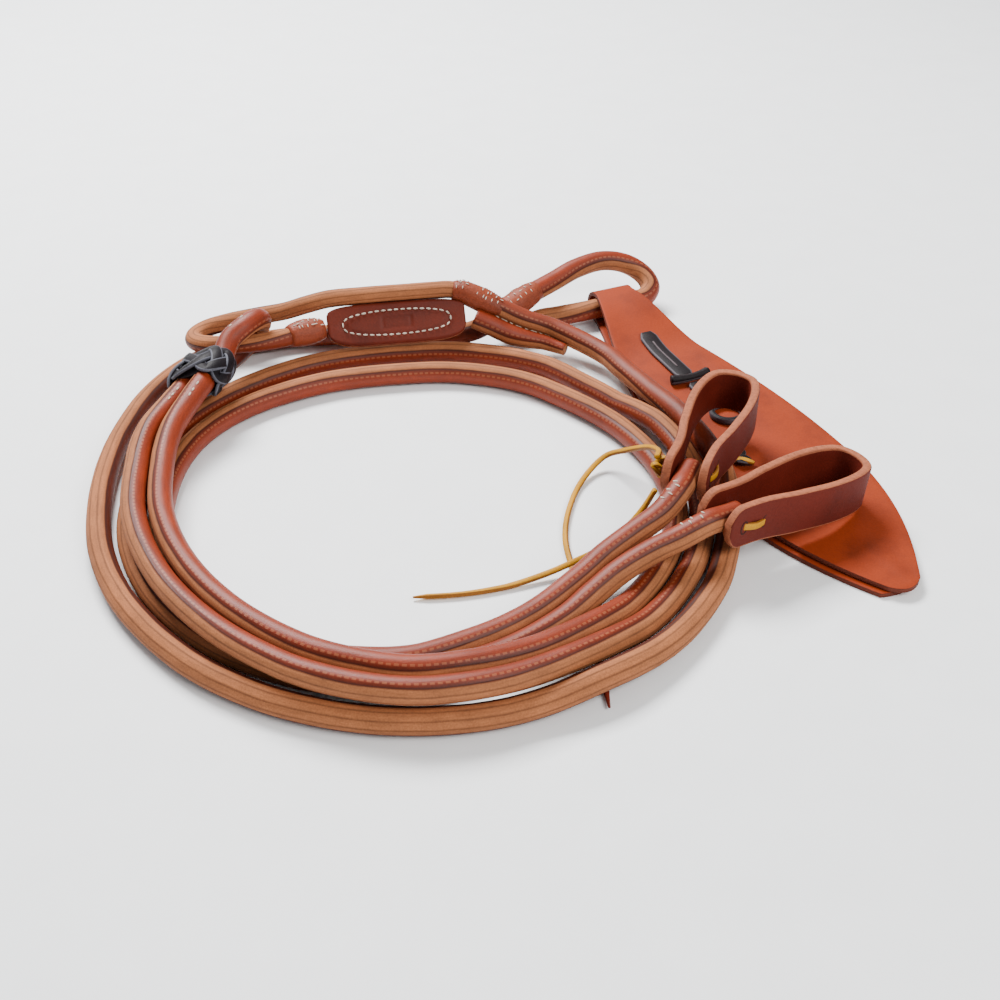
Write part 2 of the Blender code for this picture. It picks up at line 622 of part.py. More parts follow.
def lace_knot_matrix():
    """Frame of the bleed knot on the left strap's inner side, where both tails start."""
    face = REIN_DIAMETER / 2 + STRAP_THICKNESS + 3 * GAP + LACE_KNOT_SIZE[1]
    return left_frame() @ Matrix.Translation((0, face, 0))


def tail_route(start, route):
    return [lace_knot_matrix() @ (Vector(start) * MM)] + [at(point) for point in route]


def make_lace_knot():
    mesh = bpy.data.meshes.new("lace_knot")
    form = bmesh.new()
    bmesh.ops.create_uvsphere(form, u_segments=12, v_segments=8, radius=1.0)
    bmesh.ops.scale(form, vec=LACE_KNOT_SIZE, verts=form.verts)
    form.to_mesh(mesh)
    form.free()
    mesh.shade_smooth()
    piece = add("lace_knot", mesh, YELLOW)
    piece.matrix_world = lace_knot_matrix()


def make_bit_loops():
    left = left_frame()
    right = right_frame()
    make_bit_loop("bit_loop_left", left, ORANGE)
    make_bit_loop("bit_loop_right", right, ORANGE)
    make_bit_lace("bit_lace_left", left, -1)
    make_bit_lace("bit_lace_right", right, -1)
    make_lace_knot()
    for name, start, route in (
        ("lace_tail_curled", CURLED_START, CURLED_TAIL),
        ("lace_tail_straight", STRAIGHT_START, STRAIGHT_TAIL),
    ):
        tube(name, smooth(tail_route(start, route), TAIL_STEP), TAIL_DIAMETER, YELLOW, roundness=2)


def clear_scene():
    for item in list(bpy.data.objects):
        bpy.data.objects.remove(item)


clear_scene()
PARTS = collection("leather_reins", False)

make_reins()
make_rein_loop()
make_knot()
make_connector()
make_romal()
make_popper()
make_tie()
make_bit_loops()
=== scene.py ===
"""Visual model of the leather romal reins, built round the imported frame. Metres, +Z up.

Rolled strands are swept along the same routes as their solids, with the grain side, the cut edge and
the seam's grooves in the section. Flat leather pieces are swept or cut shapes with separate face and
edge materials. Stitches, slits and the braided knot are real geometry.
"""

import math
import random

import bmesh
import bpy
from mathutils import Matrix, Vector, noise


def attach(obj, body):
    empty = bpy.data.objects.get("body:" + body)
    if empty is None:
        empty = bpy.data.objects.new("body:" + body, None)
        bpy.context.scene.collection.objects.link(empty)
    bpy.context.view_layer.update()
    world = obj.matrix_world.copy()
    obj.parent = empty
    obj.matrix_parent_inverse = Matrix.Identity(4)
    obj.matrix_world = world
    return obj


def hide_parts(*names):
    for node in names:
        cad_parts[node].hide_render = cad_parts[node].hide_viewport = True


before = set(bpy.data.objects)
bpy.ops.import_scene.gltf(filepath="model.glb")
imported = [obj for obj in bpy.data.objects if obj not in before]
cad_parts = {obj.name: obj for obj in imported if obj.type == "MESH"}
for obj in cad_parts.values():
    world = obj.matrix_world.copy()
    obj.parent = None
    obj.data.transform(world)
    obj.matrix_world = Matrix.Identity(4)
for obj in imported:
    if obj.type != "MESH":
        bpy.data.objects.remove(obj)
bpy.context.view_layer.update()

MM = 0.001

# ---- driving sizes
REIN_DIAMETER = 0.0110  # rolled reins
ROMAL_DIAMETER = 0.0110  # rolled romal strand and its loops
LINK_DIAMETER = 0.0092  # rolled strand of the connector
GAP = 0.0003  # clearance between touching pieces
FINEST_STEP = 0.0005  # spacing at which a curve is measured
HUMP_REACH = 0.0240  # how far a strand's hump over a lace reaches to each side

COIL_CENTRE = Vector((-0.0382, -0.0376, 0.0))  # centre of the coil on the floor

STRAP_WIDTH = 0.0200  # bit straps, standing on edge
STRAP_THICKNESS = 0.0040
STRAP_LENGTH = 0.0840  # from the throat to the far end of a bit loop
STRAP_BOW = 0.0050  # how far each leg bows out beyond the throat
STRAP_SEAT = 0.0200  # length over which the legs run parallel
REIN_TONGUE = 0.0130  # length of rein held between a strap's legs
LACE_THICKNESS = 0.0014
LACE_WIDTH = 0.0036
LACE_SPAN = 0.0120  # visible length of the lace between two slits
LACE_AT = 0.0090  # from the throat's mouth to where the loop bends up
LACE_SHIFT = 0.0050  # from the frame's origin, towards the far end, to the lace
LACE_KNOT_SIZE = (0.0042, 0.0030, 0.0036)
TAIL_DIAMETER = 0.0026  # loose lace tails

PANEL_LENGTH = 0.0720
PANEL_HEIGHT = 0.0220
PANEL_LAYER = 0.0024  # thickness of each of the panel's two layers
PANEL_LEAN = math.radians(42.0)
PANEL_TURN = math.radians(9.5)
PANEL_ANCHOR = 15  # the connector's point that the panel's top edge hangs from
PANEL_SHIFT = 0.0035  # how far left of that point the panel's middle lies
OVAL_LENGTH = 0.0560  # oval row of stitches on the panel
OVAL_HEIGHT = 0.0130

KNOT_LENGTH = 0.0220  # along the reins
KNOT_SPLICE = 0.0015  # from the knot's middle to where each strand's piece ends inside it
KNOT_STRAIGHT = 0.0135  # from the knot's middle, how far the strands run straight

THROAT_LENGTH = 0.0200  # sewn sleeve at the root of the popper loop

POPPER_LENGTH = 0.2590  # from the fold to the tip
POPPER_WIDTH = 0.0740  # at its widest
POPPER_NECK = 0.0220  # width at the fold
POPPER_TIP = 0.0160  # width of the cut tip
POPPER_LEATHER = 0.0022
POPPER_LAYER_GAP = 0.0004  # air between the two layers
POPPER_PLAY = 0.0024  # room inside the fold for the popper to swing
POPPER_DROP = 0.0550  # length over which the upper layer comes down to the lower one
POPPER_FOLD_GAP = 0.0004  # clearance of the fold round the loop
OVER_PLAY = 0.0008  # clearance under a strand that lies on the popper
LAYER_SHIFT = 0.0030  # sideways offset of the lower layer at the tip

TIE_WIDTH = 0.0100
TIE_THICKNESS = 0.0016
TIE_FLANGE = 0.0210  # length of the rolled cross piece of the tie
TIE_ROLL = 0.0048  # its thickness
TIE_START = 0.0365  # from the fold to the tie's upper end
TIE_LENGTH = 0.0440
TIE_TAIL_LENGTH = 0.0220
TIE_CURL = 0.0075  # radius of the tail's curl
TIE_CURL_WIDTH = 0.0032  # thickness of the curled lace
TIE_KNOT_AT = 0.1560  # from the fold to the tie's lower fastening
TIE_KNOT_SIDE = -0.0150  # sideways from the popper's middle to the same
TIE_KNOT_SIZE = (0.0100, 0.0070, 0.0030)

# ---- routes
# Coil stations are (degrees, radius mm, height mm) about the coil's centre, and (degrees, radius) where
# the strand lies on the floor. Heights are those of its middle. Other points are (x, y, height) in mm.
FLOOR = 5.5  # middle of a strand on the floor
ON_TOP = 17.0  # middle of a strand on the second layer
OVER = (ROMAL_DIAMETER / 2 + 2 * POPPER_LEATHER + POPPER_LAYER_GAP + OVER_PLAY) / MM  # on the popper

KNOT_CENTRE = (-102, 83.5, 23.7)
KNOT_TURN = math.radians(77.0)
KNOT_ROLL = math.radians(-25.0)  # the inner rein lies higher than the outer one
REIN_PITCH = REIN_DIAMETER + 0.0008  # spacing of the two reins inside the knot

REIN_RIGHT_COIL = [
    (150.7, 130, 20.2), (161, 127.5, 18.3), (172, 121.5, ON_TOP), (192, 115.5, ON_TOP),
    (213, 113.5, ON_TOP), (233, 115.8, ON_TOP), (251, 121.5, ON_TOP), (263, 126, ON_TOP),
    (275, 130, ON_TOP), (287, 130.5, 16.2), (299, 129.5, 13), (311, 129, 8.5), (323, 129.5),
    (337, 130.5), (350, 132), (364, 133, 6.4), (371, 132.8, 9.8), (378, 132.6, OVER),
    (386, 132.6, OVER), (393, 132.8, 8.6), (401, 133.2), (409, 134.4), (423, 139.5), (439, 139),
    (454, 136.5), (472, 135.5), (489, 133), (503, 130.5), (516, 127), (532, 122.5), (552, 119),
    (573, 116), (593, 114.6), (611, 114), (623, 113.2), (635, 112.4), (647, 107.8), (659, 105.8),
    (671, 105.3, 5.8), (680, 105.6, 8.4), (687.6, 109.3, 13.6), (694, 116.6, 18.6),
]
REIN_RIGHT_END = [(117, -45.6, 22.4)]

REIN_LEFT_COIL = [
    (149, 119.5, 24.8), (160, 115.8, 20.4), (172, 109.8, 17.2), (192, 103.8, 17.2), (213, 101.8, 17.2),
    (233, 104.2, 17.2), (251, 109.8, 17.2), (263, 114.2, 17.2), (275, 118.2, ON_TOP),
    (287, 118.6, 16.2), (299, 117.8, 12.6), (311, 117.2, 8.2), (323, 117.8), (337, 118.6), (350, 120.2),
    (363, 121), (378, 120.4), (393, 119.4), (408, 118.4), (423, 119.8), (439, 118), (454, 115),
    (472, 115.2), (489, 116.2), (503, 116.4), (516, 114), (532, 109), (552, 105.6), (573, 103.6),
    (593, 102.6), (611, 102), (623, 101.3), (635, 100.2), (647, 96), (659, 94), (671, 93.4),
    (683, 94.8, 7.6), (692, 98.7, 12.2), (699, 105.4, 17.2),
]
REIN_LEFT_END = [(110.8, -29, 22.6)]

ROMAL_START = [(28.8, 153, 30), (39, 151.4, 25.6), (55, 149, 18.6), (73, 146.2, 13.4)]
ROMAL_COIL = [
    (53, 160.5, 9.8), (46, 152, OVER), (38, 147.2, OVER), (27, 146, OVER), (14, 145.6, OVER),
    (3, 144.6, OVER), (-5, 143.9, 7.4), (-12, 143.2), (-23, 143.2), (-37, 142.5), (-49, 141),
    (-62, 138.5), (-75, 136), (-88, 133.4), (-100, 131), (-113, 129), (-128, 127.6),
    (-147, 127.8), (-163, 130.4), (-177, 134), (-192, 141.5), (-204, 150.6), (-216, 162),
    (-226, 169.8), (-235, 172), (-244, 168.4), (-254, 162), (-263, 157), (-270, 154.6),
]
ROMAL_END = [(17, 154, 6.2), (29, 153, 9.6)]

EYE_LEG = [
    (29, 143.6, 20.4), (37, 143, 18.2), (45, 142.1, 14.8), (60, 139.4, 9.4),
    (69, 136.6, 6.8), (75.5, 133, 6),
]
POPPER_LOOP = [
    (72, 186, 21.6), (85, 197, 24), (99.5, 205.5, 24.5),
    (113, 208.5, 21.5), (123, 205.5, 16.5), (127, 199, 12), (124, 193.2, 8.8),
    (117, 189.4, 8.3), (106, 184.5, 8.3), (95, 179.6, 8.3), (84, 176.6, 7.4),
    (74, 175.4, 6), (66, 173.4, 5.6), (59, 169.6, 5),
]
THROAT_CENTRE = (52.6, 169, 17.6)
THROAT_TURN = math.radians(42.0)
THROAT_TILT = math.radians(12.0)

FOLD_CENTRE = (106, 184.5, 8.3)
POPPER_HEADING = math.radians(-66.2)

CONNECTOR = [
    (-48, 132.4, 21.7), (-57.5, 128.4, 21.8), (-68, 121.8, 22.2), (-80, 116.4, 22.8),
    (-94, 113.8, 23), (-105.5, 115.2, 22.4), (-112.5, 121.5, 20.5), (-114.5, 130.5, 18.8),
    (-110, 139, 18.5), (-99, 144.5, 19.5), (-84, 147, 21.5), (-70, 146, 24.8),
    (-57.5, 144.4, 29.6), (-46, 144.4, 32.8), (-27, 147, 33.5), (-9, 150, 33.5),
    (9, 153, 33.5), (17, 154.2, 33.2), (25.8, 154.1, 31.4),
]
REIN_LOOP = [
    (-91.2, 104.6, 30.6), (-84.6, 112, 34.2), (-79.8, 120, 34), (-79, 126.8, 29.2),
    (-82, 128.8, 22.6), (-88, 125.6, 15.8), (-95, 118.4, 11.8), (-100.4, 111.2, 12),
    (-102.8, 105.6, 14.8), (-103.2, 101.2, 18.4),
]

LEFT_THROAT = (121, -15)
LEFT_HEADING = math.radians(67.0)
LEFT_BASE = 0.0176  # height of the left strap's lower edge
RIGHT_THROAT = (131.5, -38)
RIGHT_HEADING = math.radians(34.6)
RIGHT_BASE = 0.0155
RIGHT_DIP = math.radians(6.0)

CURLED_START = (-0.02, 1.28, 5)  # where each tail leaves the lace knot, from its middle, mm
STRAIGHT_START = (-12.07, -2.32, -3.6)
CURLED_TAIL = [
    (112.6, 8, 29.6), (109.5, 20, 23.5), (102, 32, 14), (92, 38.5, 6), (81, 25, 1.8),
    (74, 3, 1.3), (71.5, -18, 1.3), (73.5, -38, 1.3), (76.5, -54, 1.3), (79.5, -75, 1.3),
    (82, -98, 1.3), (84, -122, 1.3),
]
STRAIGHT_TAIL = [
    (104.5, -14.5, 14), (97, -19, 7), (86, -29.5, 4.6), (74.5, -38.5, 4.6),
    (62, -44.5, 2.6), (45, -51.5, 1.3), (27, -56, 1.3), (7, -58, 1.3),
]

# ---- places and curves
def at(point):
    """World position of a point given in millimetres from the coil's centre."""
    return COIL_CENTRE + Vector(point) * MM


def around(degrees, radius, height=FLOOR):
    """World position of a coil station."""
    turn = math.radians(degrees)
    return at((radius * math.cos(turn), radius * math.sin(turn), height))


def lifted(point):
    """The strands hump over the lace tail that runs out under the coil."""
    inner = at(CURLED_TAIL[-4])
    outer = at(CURLED_TAIL[-1])
    along = (outer - inner).to_2d()
    offset = (point - inner).to_2d()
    share = offset.dot(along) / along.length_squared
    if not -0.4 < share < 1.4:
        return point
    sideways = (offset - along * share).length
    rise = (TAIL_DIAMETER + 2 * GAP) * math.exp(-((sideways / HUMP_REACH) ** 2))
    return point + Vector((0, 0, rise))


def runs_of(points):
    """Length along the points up to each of them."""
    runs = [0.0]
    for a, b in zip(points, points[1:]):
        runs.append(runs[-1] + (b - a).length)
    return runs


def smooth(points, step):
    """Points about a step apart on one smooth curve through the given ones."""
    knots = runs_of(points)
    last = len(points) - 1
    slopes = []
    for i in range(last + 1):
        before, after = max(i - 1, 0), min(i + 1, last)
        slopes.append((points[after] - points[before]) / (knots[after] - knots[before]))
    fine = []
    for i in range(last):
        span = knots[i + 1] - knots[i]
        pieces = max(8, int(span / FINEST_STEP))
        for k in range(pieces):
            t = k / pieces
            fine.append(
                points[i] * (2 * t**3 - 3 * t**2 + 1)
                + slopes[i] * (span * (t**3 - 2 * t**2 + t))
                + points[i + 1] * (3 * t**2 - 2 * t**3)
                + slopes[i + 1] * (span * (t**3 - t**2))
            )
    fine.append(points[-1])
    lengths = runs_of(fine)
    count = max(2, round(lengths[-1] / step))
    result = []
    index = 0
    for k in range(count + 1):
        wanted = lengths[-1] * k / count
        while index < len(fine) - 2 and lengths[index + 1] < wanted:
            index += 1
        share = (wanted - lengths[index]) / max(lengths[index + 1] - lengths[index], 1e-9)
        result.append(fine[index].lerp(fine[index + 1], min(max(share, 0.0), 1.0)))
    return result


def knot_matrix():
    """Frame of the knot: X along the reins, Y across them."""
    turn = Matrix.Rotation(KNOT_TURN, 4, "Z") @ Matrix.Rotation(KNOT_ROLL, 4, "X")
    return Matrix.Translation(at(KNOT_CENTRE)) @ turn


def in_knot(along, side):
    """A point of the left (+1) or right (-1) strand inside the knot."""
    return knot_matrix() @ Vector((along, side * REIN_PITCH / 2, 0.0))


def throat_matrix():
    turn = Matrix.Rotation(THROAT_TURN, 4, "Z") @ Matrix.Rotation(-THROAT_TILT, 4, "Y")
    return Matrix.Translation(at(THROAT_CENTRE)) @ turn


def panel_matrix():
    """Frame of the panel's middle plane: X along its top edge, Y up its face, Z out of its front."""
    top = at(CONNECTOR[PANEL_ANCHOR])
    turn = Matrix.Rotation(PANEL_TURN, 4, "Z")
    lean = Matrix.Rotation(math.pi / 2 - PANEL_LEAN, 4, "X")
    drop = Matrix.Translation((-PANEL_SHIFT, -(LINK_DIAMETER / 2 + GAP + PANEL_HEIGHT / 2), 0))
    return Matrix.Translation(top) @ turn @ lean @ drop


def popper_width(s):
    """Width of the popper at a distance from the fold."""
    widest = 0.62 * POPPER_LENGTH
    if s < widest:
        share = math.sin(0.5 * math.pi * s / widest)
        return POPPER_NECK + (POPPER_WIDTH - POPPER_NECK) * share
    share = 1 - ((s - widest) / (POPPER_LENGTH - widest)) ** 2.2
    return POPPER_TIP + (POPPER_WIDTH - POPPER_TIP) * share


def popper_point(s, v, z):
    """World position: s along the popper from the fold, v across it, z above the floor."""
    fold = at(FOLD_CENTRE)
    along = Vector((math.cos(POPPER_HEADING), math.sin(POPPER_HEADING), 0))
    across = Vector((-along.y, along.x, 0))
    flat = Vector((fold.x, fold.y, 0))
    return flat + along * s + across * v + Vector((0, 0, z))


def lower_height():
    return POPPER_LEATHER / 2


def upper_height(s):
    """Height of the middle of the upper layer."""
    low = lower_height() + POPPER_LEATHER + POPPER_LAYER_GAP
    high = FOLD_CENTRE[2] * MM + fold_radius()
    share = min(max(s / POPPER_DROP, 0.0), 1.0)
    return high + (low - high) * share * share * (3 - 2 * share)


def fold_radius():
    return ROMAL_DIAMETER / 2 + POPPER_FOLD_GAP + POPPER_LEATHER / 2


def left_frame():
    return bit_matrix(LEFT_THROAT, LEFT_HEADING, 0.0, LEFT_BASE)


def right_frame():
    return bit_matrix(RIGHT_THROAT, RIGHT_HEADING, RIGHT_DIP, RIGHT_BASE)


def bit_matrix(throat, heading, dip, base):
    """Frame of a bit loop: X from the throat to the far end, Z up its edge, origin where it bends."""
    spot = at((*throat, 0)) + Vector((0, 0, base + STRAP_WIDTH / 2))
    turn = Matrix.Rotation(heading, 4, "Z") @ Matrix.Rotation(dip, 4, "Y")
    return Matrix.Translation(spot) @ turn @ Matrix.Translation((LACE_AT, 0, 0))


def strap_half():
    """Points of one leg from the throat to the far end, seen from above."""
    seat = REIN_DIAMETER / 2 + 2 * GAP + STRAP_THICKNESS / 2
    far = seat + STRAP_BOW
    leg = [Vector((0, seat, 0)), Vector((STRAP_SEAT, seat, 0))]
    leg.append(Vector((0.45 * STRAP_LENGTH, seat + 0.6 * STRAP_BOW, 0)))
    leg.append(Vector((STRAP_LENGTH - 1.6 * far, far, 0)))
    leg.append(Vector((STRAP_LENGTH - 0.29 * far, 0.71 * far, 0)))
    return leg


def lace_knot_matrix():
    """Frame of the bleed knot on the left strap's inner side, where both tails start."""
    face = REIN_DIAMETER / 2 + STRAP_THICKNESS + 3 * GAP + LACE_KNOT_SIZE[1]
    return left_frame() @ Matrix.Translation((0, face, 0))


def tail_route(start, route):
    return [lace_knot_matrix() @ (Vector(start) * MM)] + [at(point) for point in route]


# ---- looks only
VIEW_TARGET = (43.0, 12.0, 0.0)  # where the camera looks, from the coil's centre, mm
VIEW_ELEVATION = math.radians(36.0)
VIEW_DISTANCE = 0.62
VIEW_LENS = 49.1
SENSOR_WIDTH = 36.0
SWEEP_MAP = "sweep"  # UV map: X round or across a swept piece, Y along it in metres
LOOK_STEP = 0.0016  # spacing of the rings of a rolled strand
STRAND_SIDES = 36
SLEEVE_SIDES = 32
STRAP_SIDES = 20
STRAP_ROUNDING = 0.0011
CAP_PLACE = 0.8  # the sweep map's X on the cut end of a swept piece
SEAM_AT = 0.58  # share of the way round where the grain side ends
EDGE_LAYERS = 4  # layers that show in the cut edge
GROOVE_DEPTH = 0.055
WANDER_LENGTH = 0.37  # a strand's seam sways once in this length
SEAM_WANDER = 0.02  # by this share of a turn to each side
SKIVED_END = 0.55  # thickness left at the end of a skived strand, as a share
EYE_SKIVED = 0.030  # length over which the eye leg thins out
REIN_LEAN = 0.13  # turn of a rein's grain side between the coil's middle and its back
# The grain side's direction along each strand: (run, turns from the strand's right).
RIGHT_TURNS = [(0.0, 0.40), (0.06, 0.50), (0.20, 0.58), (1.12, 0.58), (1.25, 0.42)]
LEFT_TURNS = [(0.0, 0.36), (0.06, 0.44), (0.20, 0.54), (1.02, 0.56), (1.14, 0.42)]
ROMAL_TURNS = [(0.0, 0.36), (0.10, 0.34), (0.24, -0.08), (0.45, -0.13), (0.95, -0.13)]
END_LOOP_TURNS = [(0.0, 0.22), (0.13, 0.30)]
CONNECTOR_TURNS = [(0.0, 0.60), (0.06, 0.75), (0.12, 0.55), (0.22, 0.62)]
EYE_TURNS = [(0.0, 0.30), (0.05, 0.34)]
POPPER_LOOP_TURNS = [(0.0, 0.30), (0.06, 0.36), (0.09, 0.60), (0.15, 0.75)]
WORLD_STRENGTH = 0.50
FLOOR_REACH = 4.0  # from the floor's middle to its sides
FLOOR_DROP = 0.0002  # the paper lies just under the pieces
GRAIN = (0.150, 0.017, 0.003)
GRAIN_DARK = (0.135, 0.018, 0.004)
EDGE_TAN = (0.275, 0.094, 0.034)
TIP_RED = (0.12, 0.012, 0.005)
RED_FROM = 0.196  # run of the curled tail from which its dye is darker red
STITCH_PITCH = 0.0028
SEAM_THREAD = (0.40, 0.14, 0.06)
LACE_FACE = 0.40  # half of a lace's width that is face, not cut side
KNOT_INNER = 0.0068  # from a rein's middle to the inside of the knot
KNOT_LACE_WIDTH = 0.0058
KNOT_TURNS, KNOT_BIGHTS = 3, 7  # times the lace goes round, and crosses from end to end
BRAID_PROFILE = [  # across and out of the knot's lace, and the sweep map's X
    (-1.0, -0.5, 0.0), (-1.0, 0.3, 0.02), (-0.86, 0.62, 0.07), (0.0, 0.85, 0.5),
    (0.86, 0.62, 0.93), (1.0, 0.3, 0.98), (1.0, -0.5, 1.0),
]
INSIDE_KNOT = (KNOT_SPLICE, KNOT_LENGTH / 2, KNOT_STRAIGHT)
END_STITCHES = ((0.018, 0.30), (0.0205, 0.24), (0.023, 0.31), (0.0255, 0.25), (0.028, 0.30))
KNOT_STITCHES = (0.0175, 0.0215, 0.0255)  # runs from the knot of the stitches on each rein
LOOP_STITCHES = (0.028, 0.035)  # and on the end loop
EYE_STITCHES = 16  # along the romal's eye leg
EYE_STITCH_START, EYE_STITCH_PITCH = 0.014, 0.0027
PANEL_STITCHES = 36
REIN_STITCH = (0.0026, 0.0009)  # length and thickness of the stitches of each kind
SLEEVE_STITCH = (0.0020, 0.0006)
PANEL_STITCH = (0.0027, 0.0010)
EYE_STITCH = (0.0022, 0.0008)
CONNECTOR_SLEEVE = 0.0072  # radii of the sewn sleeves
THROAT_SLEEVE = 0.0074
ROMAL_SLEEVE = 0.0068
TIE_SLIT_START, TIE_SLIT_LENGTH = 0.008, 0.026  # on the tie's tab, from its upper end
POPPER_STEPS = 90  # rows along each layer of the popper
FOLD_STEPS = 24
POPPER_COLUMNS = 24
POINTED_FROM = 0.93  # share of the popper's length where its tip starts
POINT_LENGTH = 0.004  # how far the tip's middle stands out
WAVE_HEIGHT = 0.0009  # of the popper's upper layer
STRAP_END = 0.0075  # length over which a strap's end is rounded off
SLIT_HALF = (0.0017, 0.0030)
SLIT_RIM = 0.0009
MARK_LENGTH = 0.0150  # plain impressed frame on the panel
MARK_HEIGHT = 0.0055

# ---- camera, light, floor
def in_scene(name, data):
    made = bpy.data.objects.new(name, data)
    bpy.context.scene.collection.objects.link(made)
    return made


def add_camera():
    """The main view: level with +Y ahead, looking down at the coil."""
    target = at(VIEW_TARGET)
    data = bpy.data.cameras.new("camera")
    data.lens = VIEW_LENS
    data.sensor_width = SENSOR_WIDTH
    camera = in_scene("camera", data)
    back = Vector((0, -math.cos(VIEW_ELEVATION), math.sin(VIEW_ELEVATION))) * VIEW_DISTANCE
    camera.location = target + back
    camera.rotation_euler = (-back).to_track_quat("-Z", "Y").to_euler()
    bpy.context.scene.camera = camera


def add_light(name, location, size, power, colour=(1.0, 1.0, 1.0)):
    data = bpy.data.lights.new(name, "AREA")
    data.shape = "RECTANGLE"
    data.size, data.size_y = size
    data.energy = power
    data.color = colour
    lamp = in_scene(name, data)
    lamp.location = location
    lamp.rotation_euler = (at(VIEW_TARGET) - Vector(location)).to_track_quat("-Z", "Y").to_euler()


def add_studio():
    world = bpy.data.worlds.new("studio")
    world.use_nodes = True
    sky = world.node_tree.nodes["Background"]
    sky.inputs["Color"].default_value = (0.93, 0.97, 1.0, 1.0)
    sky.inputs["Strength"].default_value = WORLD_STRENGTH
    bpy.context.scene.world = world
    add_light("key", (-0.45, 0.80, 1.10), (0.8, 0.45), 58.0)
    add_light("fill", (0.90, -0.75, 1.10), (0.9, 0.9), 26.0, (1.0, 0.98, 0.95))
    form = bmesh.new()
    bmesh.ops.create_grid(form, x_segments=1, y_segments=1, size=FLOOR_REACH)
    mesh = mesh_of("floor", form)
    floor = in_scene("floor", mesh)
    floor.location.z = -FLOOR_DROP
    paint = Shade("floor_paper")
    grain = paint.noise(paint.place(), 40.0)
    paint.colour(paint.ramp(grain, [(0.3, (0.86, 0.87, 0.88)), (0.7, (0.89, 0.90, 0.91))]))
    paint.shader.inputs["Roughness"].default_value = 0.6
    mesh.materials.append(paint.material)


# ---- materials
class Shade:
    """A Principled material and short calls for the nodes that feed it."""

    def __init__(self, name):
        self.material = bpy.data.materials.new(name)
        self.material.use_nodes = True
        self.tree = self.material.node_tree
        self.shader = self.tree.nodes["Principled BSDF"]

    def link(self, source, target):
        self.tree.links.new(source, target)

    def node(self, kind, inputs=None, **settings):
        made = self.tree.nodes.new(kind)
        for key, value in settings.items():
            setattr(made, key, value)
        for key, value in (inputs or {}).items():
            if isinstance(value, bpy.types.NodeSocket):
                self.link(value, made.inputs[key])
            else:
                made.inputs[key].default_value = value
        return made

    def place(self, scale=(1, 1, 1)):
        """Object coordinates, in metres, stretched by scale."""
        source = self.node("ShaderNodeTexCoord").outputs["Object"]
        return self.node("ShaderNodeMapping", {"Vector": source, "Scale": scale}).outputs[0]

    def sweep(self, scale=(1, 1, 1)):
        """Place on a swept piece: X round or across it, from 0 to 1, and Y along it, in metres."""
        source = self.node("ShaderNodeUVMap", uv_map=SWEEP_MAP).outputs["UV"]
        return self.node("ShaderNodeMapping", {"Vector": source, "Scale": scale}).outputs[0]

    def split(self, vector):
        return self.node("ShaderNodeSeparateXYZ", {"Vector": vector}).outputs

    def noise(self, vector, scale, detail=4.0, roughness=0.55):
        inputs = {"Vector": vector, "Scale": scale, "Detail": detail, "Roughness": roughness}
        return self.node("ShaderNodeTexNoise", inputs).outputs["Fac"]

    def cells(self, vector, scale):
        inputs = {"Vector": vector, "Scale": scale}
        return self.node("ShaderNodeTexVoronoi", inputs).outputs["Distance"]

    def math(self, operation, first, second=0.0):
        return self.node("ShaderNodeMath", {0: first, 1: second}, operation=operation).outputs[0]

    def mix(self, share, first, second, blend="MIX"):
        made = self.node("ShaderNodeMix", data_type="RGBA", blend_type=blend)
        for index, value in ((0, share), (6, first), (7, second)):
            if isinstance(value, bpy.types.NodeSocket):
                self.link(value, made.inputs[index])
            else:
                made.inputs[index].default_value = value if index == 0 else (*value, 1.0)
        return made.outputs[2]

    def ramp(self, factor, stops):
        """A colour ramp; a stop is (position, colour or grey)."""
        made = self.node("ShaderNodeValToRGB", {"Fac": factor})
        ramp = made.color_ramp
        while len(ramp.elements) < len(stops):
            ramp.elements.new(0.5)
        for element, (position, colour) in zip(ramp.elements, stops):
            element.position = position
            grey = not isinstance(colour, tuple)
            element.color = (colour, colour, colour, 1.0) if grey else (*colour, 1.0)
        return made.outputs["Color"]

    def scaled(self, source, factor, rest=0.0):
        return self.math("ADD", self.math("MULTIPLY", source, factor), rest)

    def mottled(self, base, share, source, dark, light):
        """The base, darkened and lightened where the source is low and high."""
        return self.mix(share, base, self.ramp(source, [dark, light]), "OVERLAY")

    def colour(self, source):
        self.link(source, self.shader.inputs["Base Color"])

    def rough(self, source, gain, least):
        self.link(self.scaled(source, gain, least), self.shader.inputs["Roughness"])

    def bump(self, height, strength, distance):
        made = self.node("ShaderNodeBump", {"Height": height, "Strength": strength, "Distance": distance})
        self.link(made.outputs["Normal"], self.shader.inputs["Normal"])

    def set(self, **values):
        for key, value in values.items():
            self.shader.inputs[key.replace("_", " ")].default_value = value


def toned(colour, factor):
    return tuple(min(1.0, factor * channel) for channel in colour)


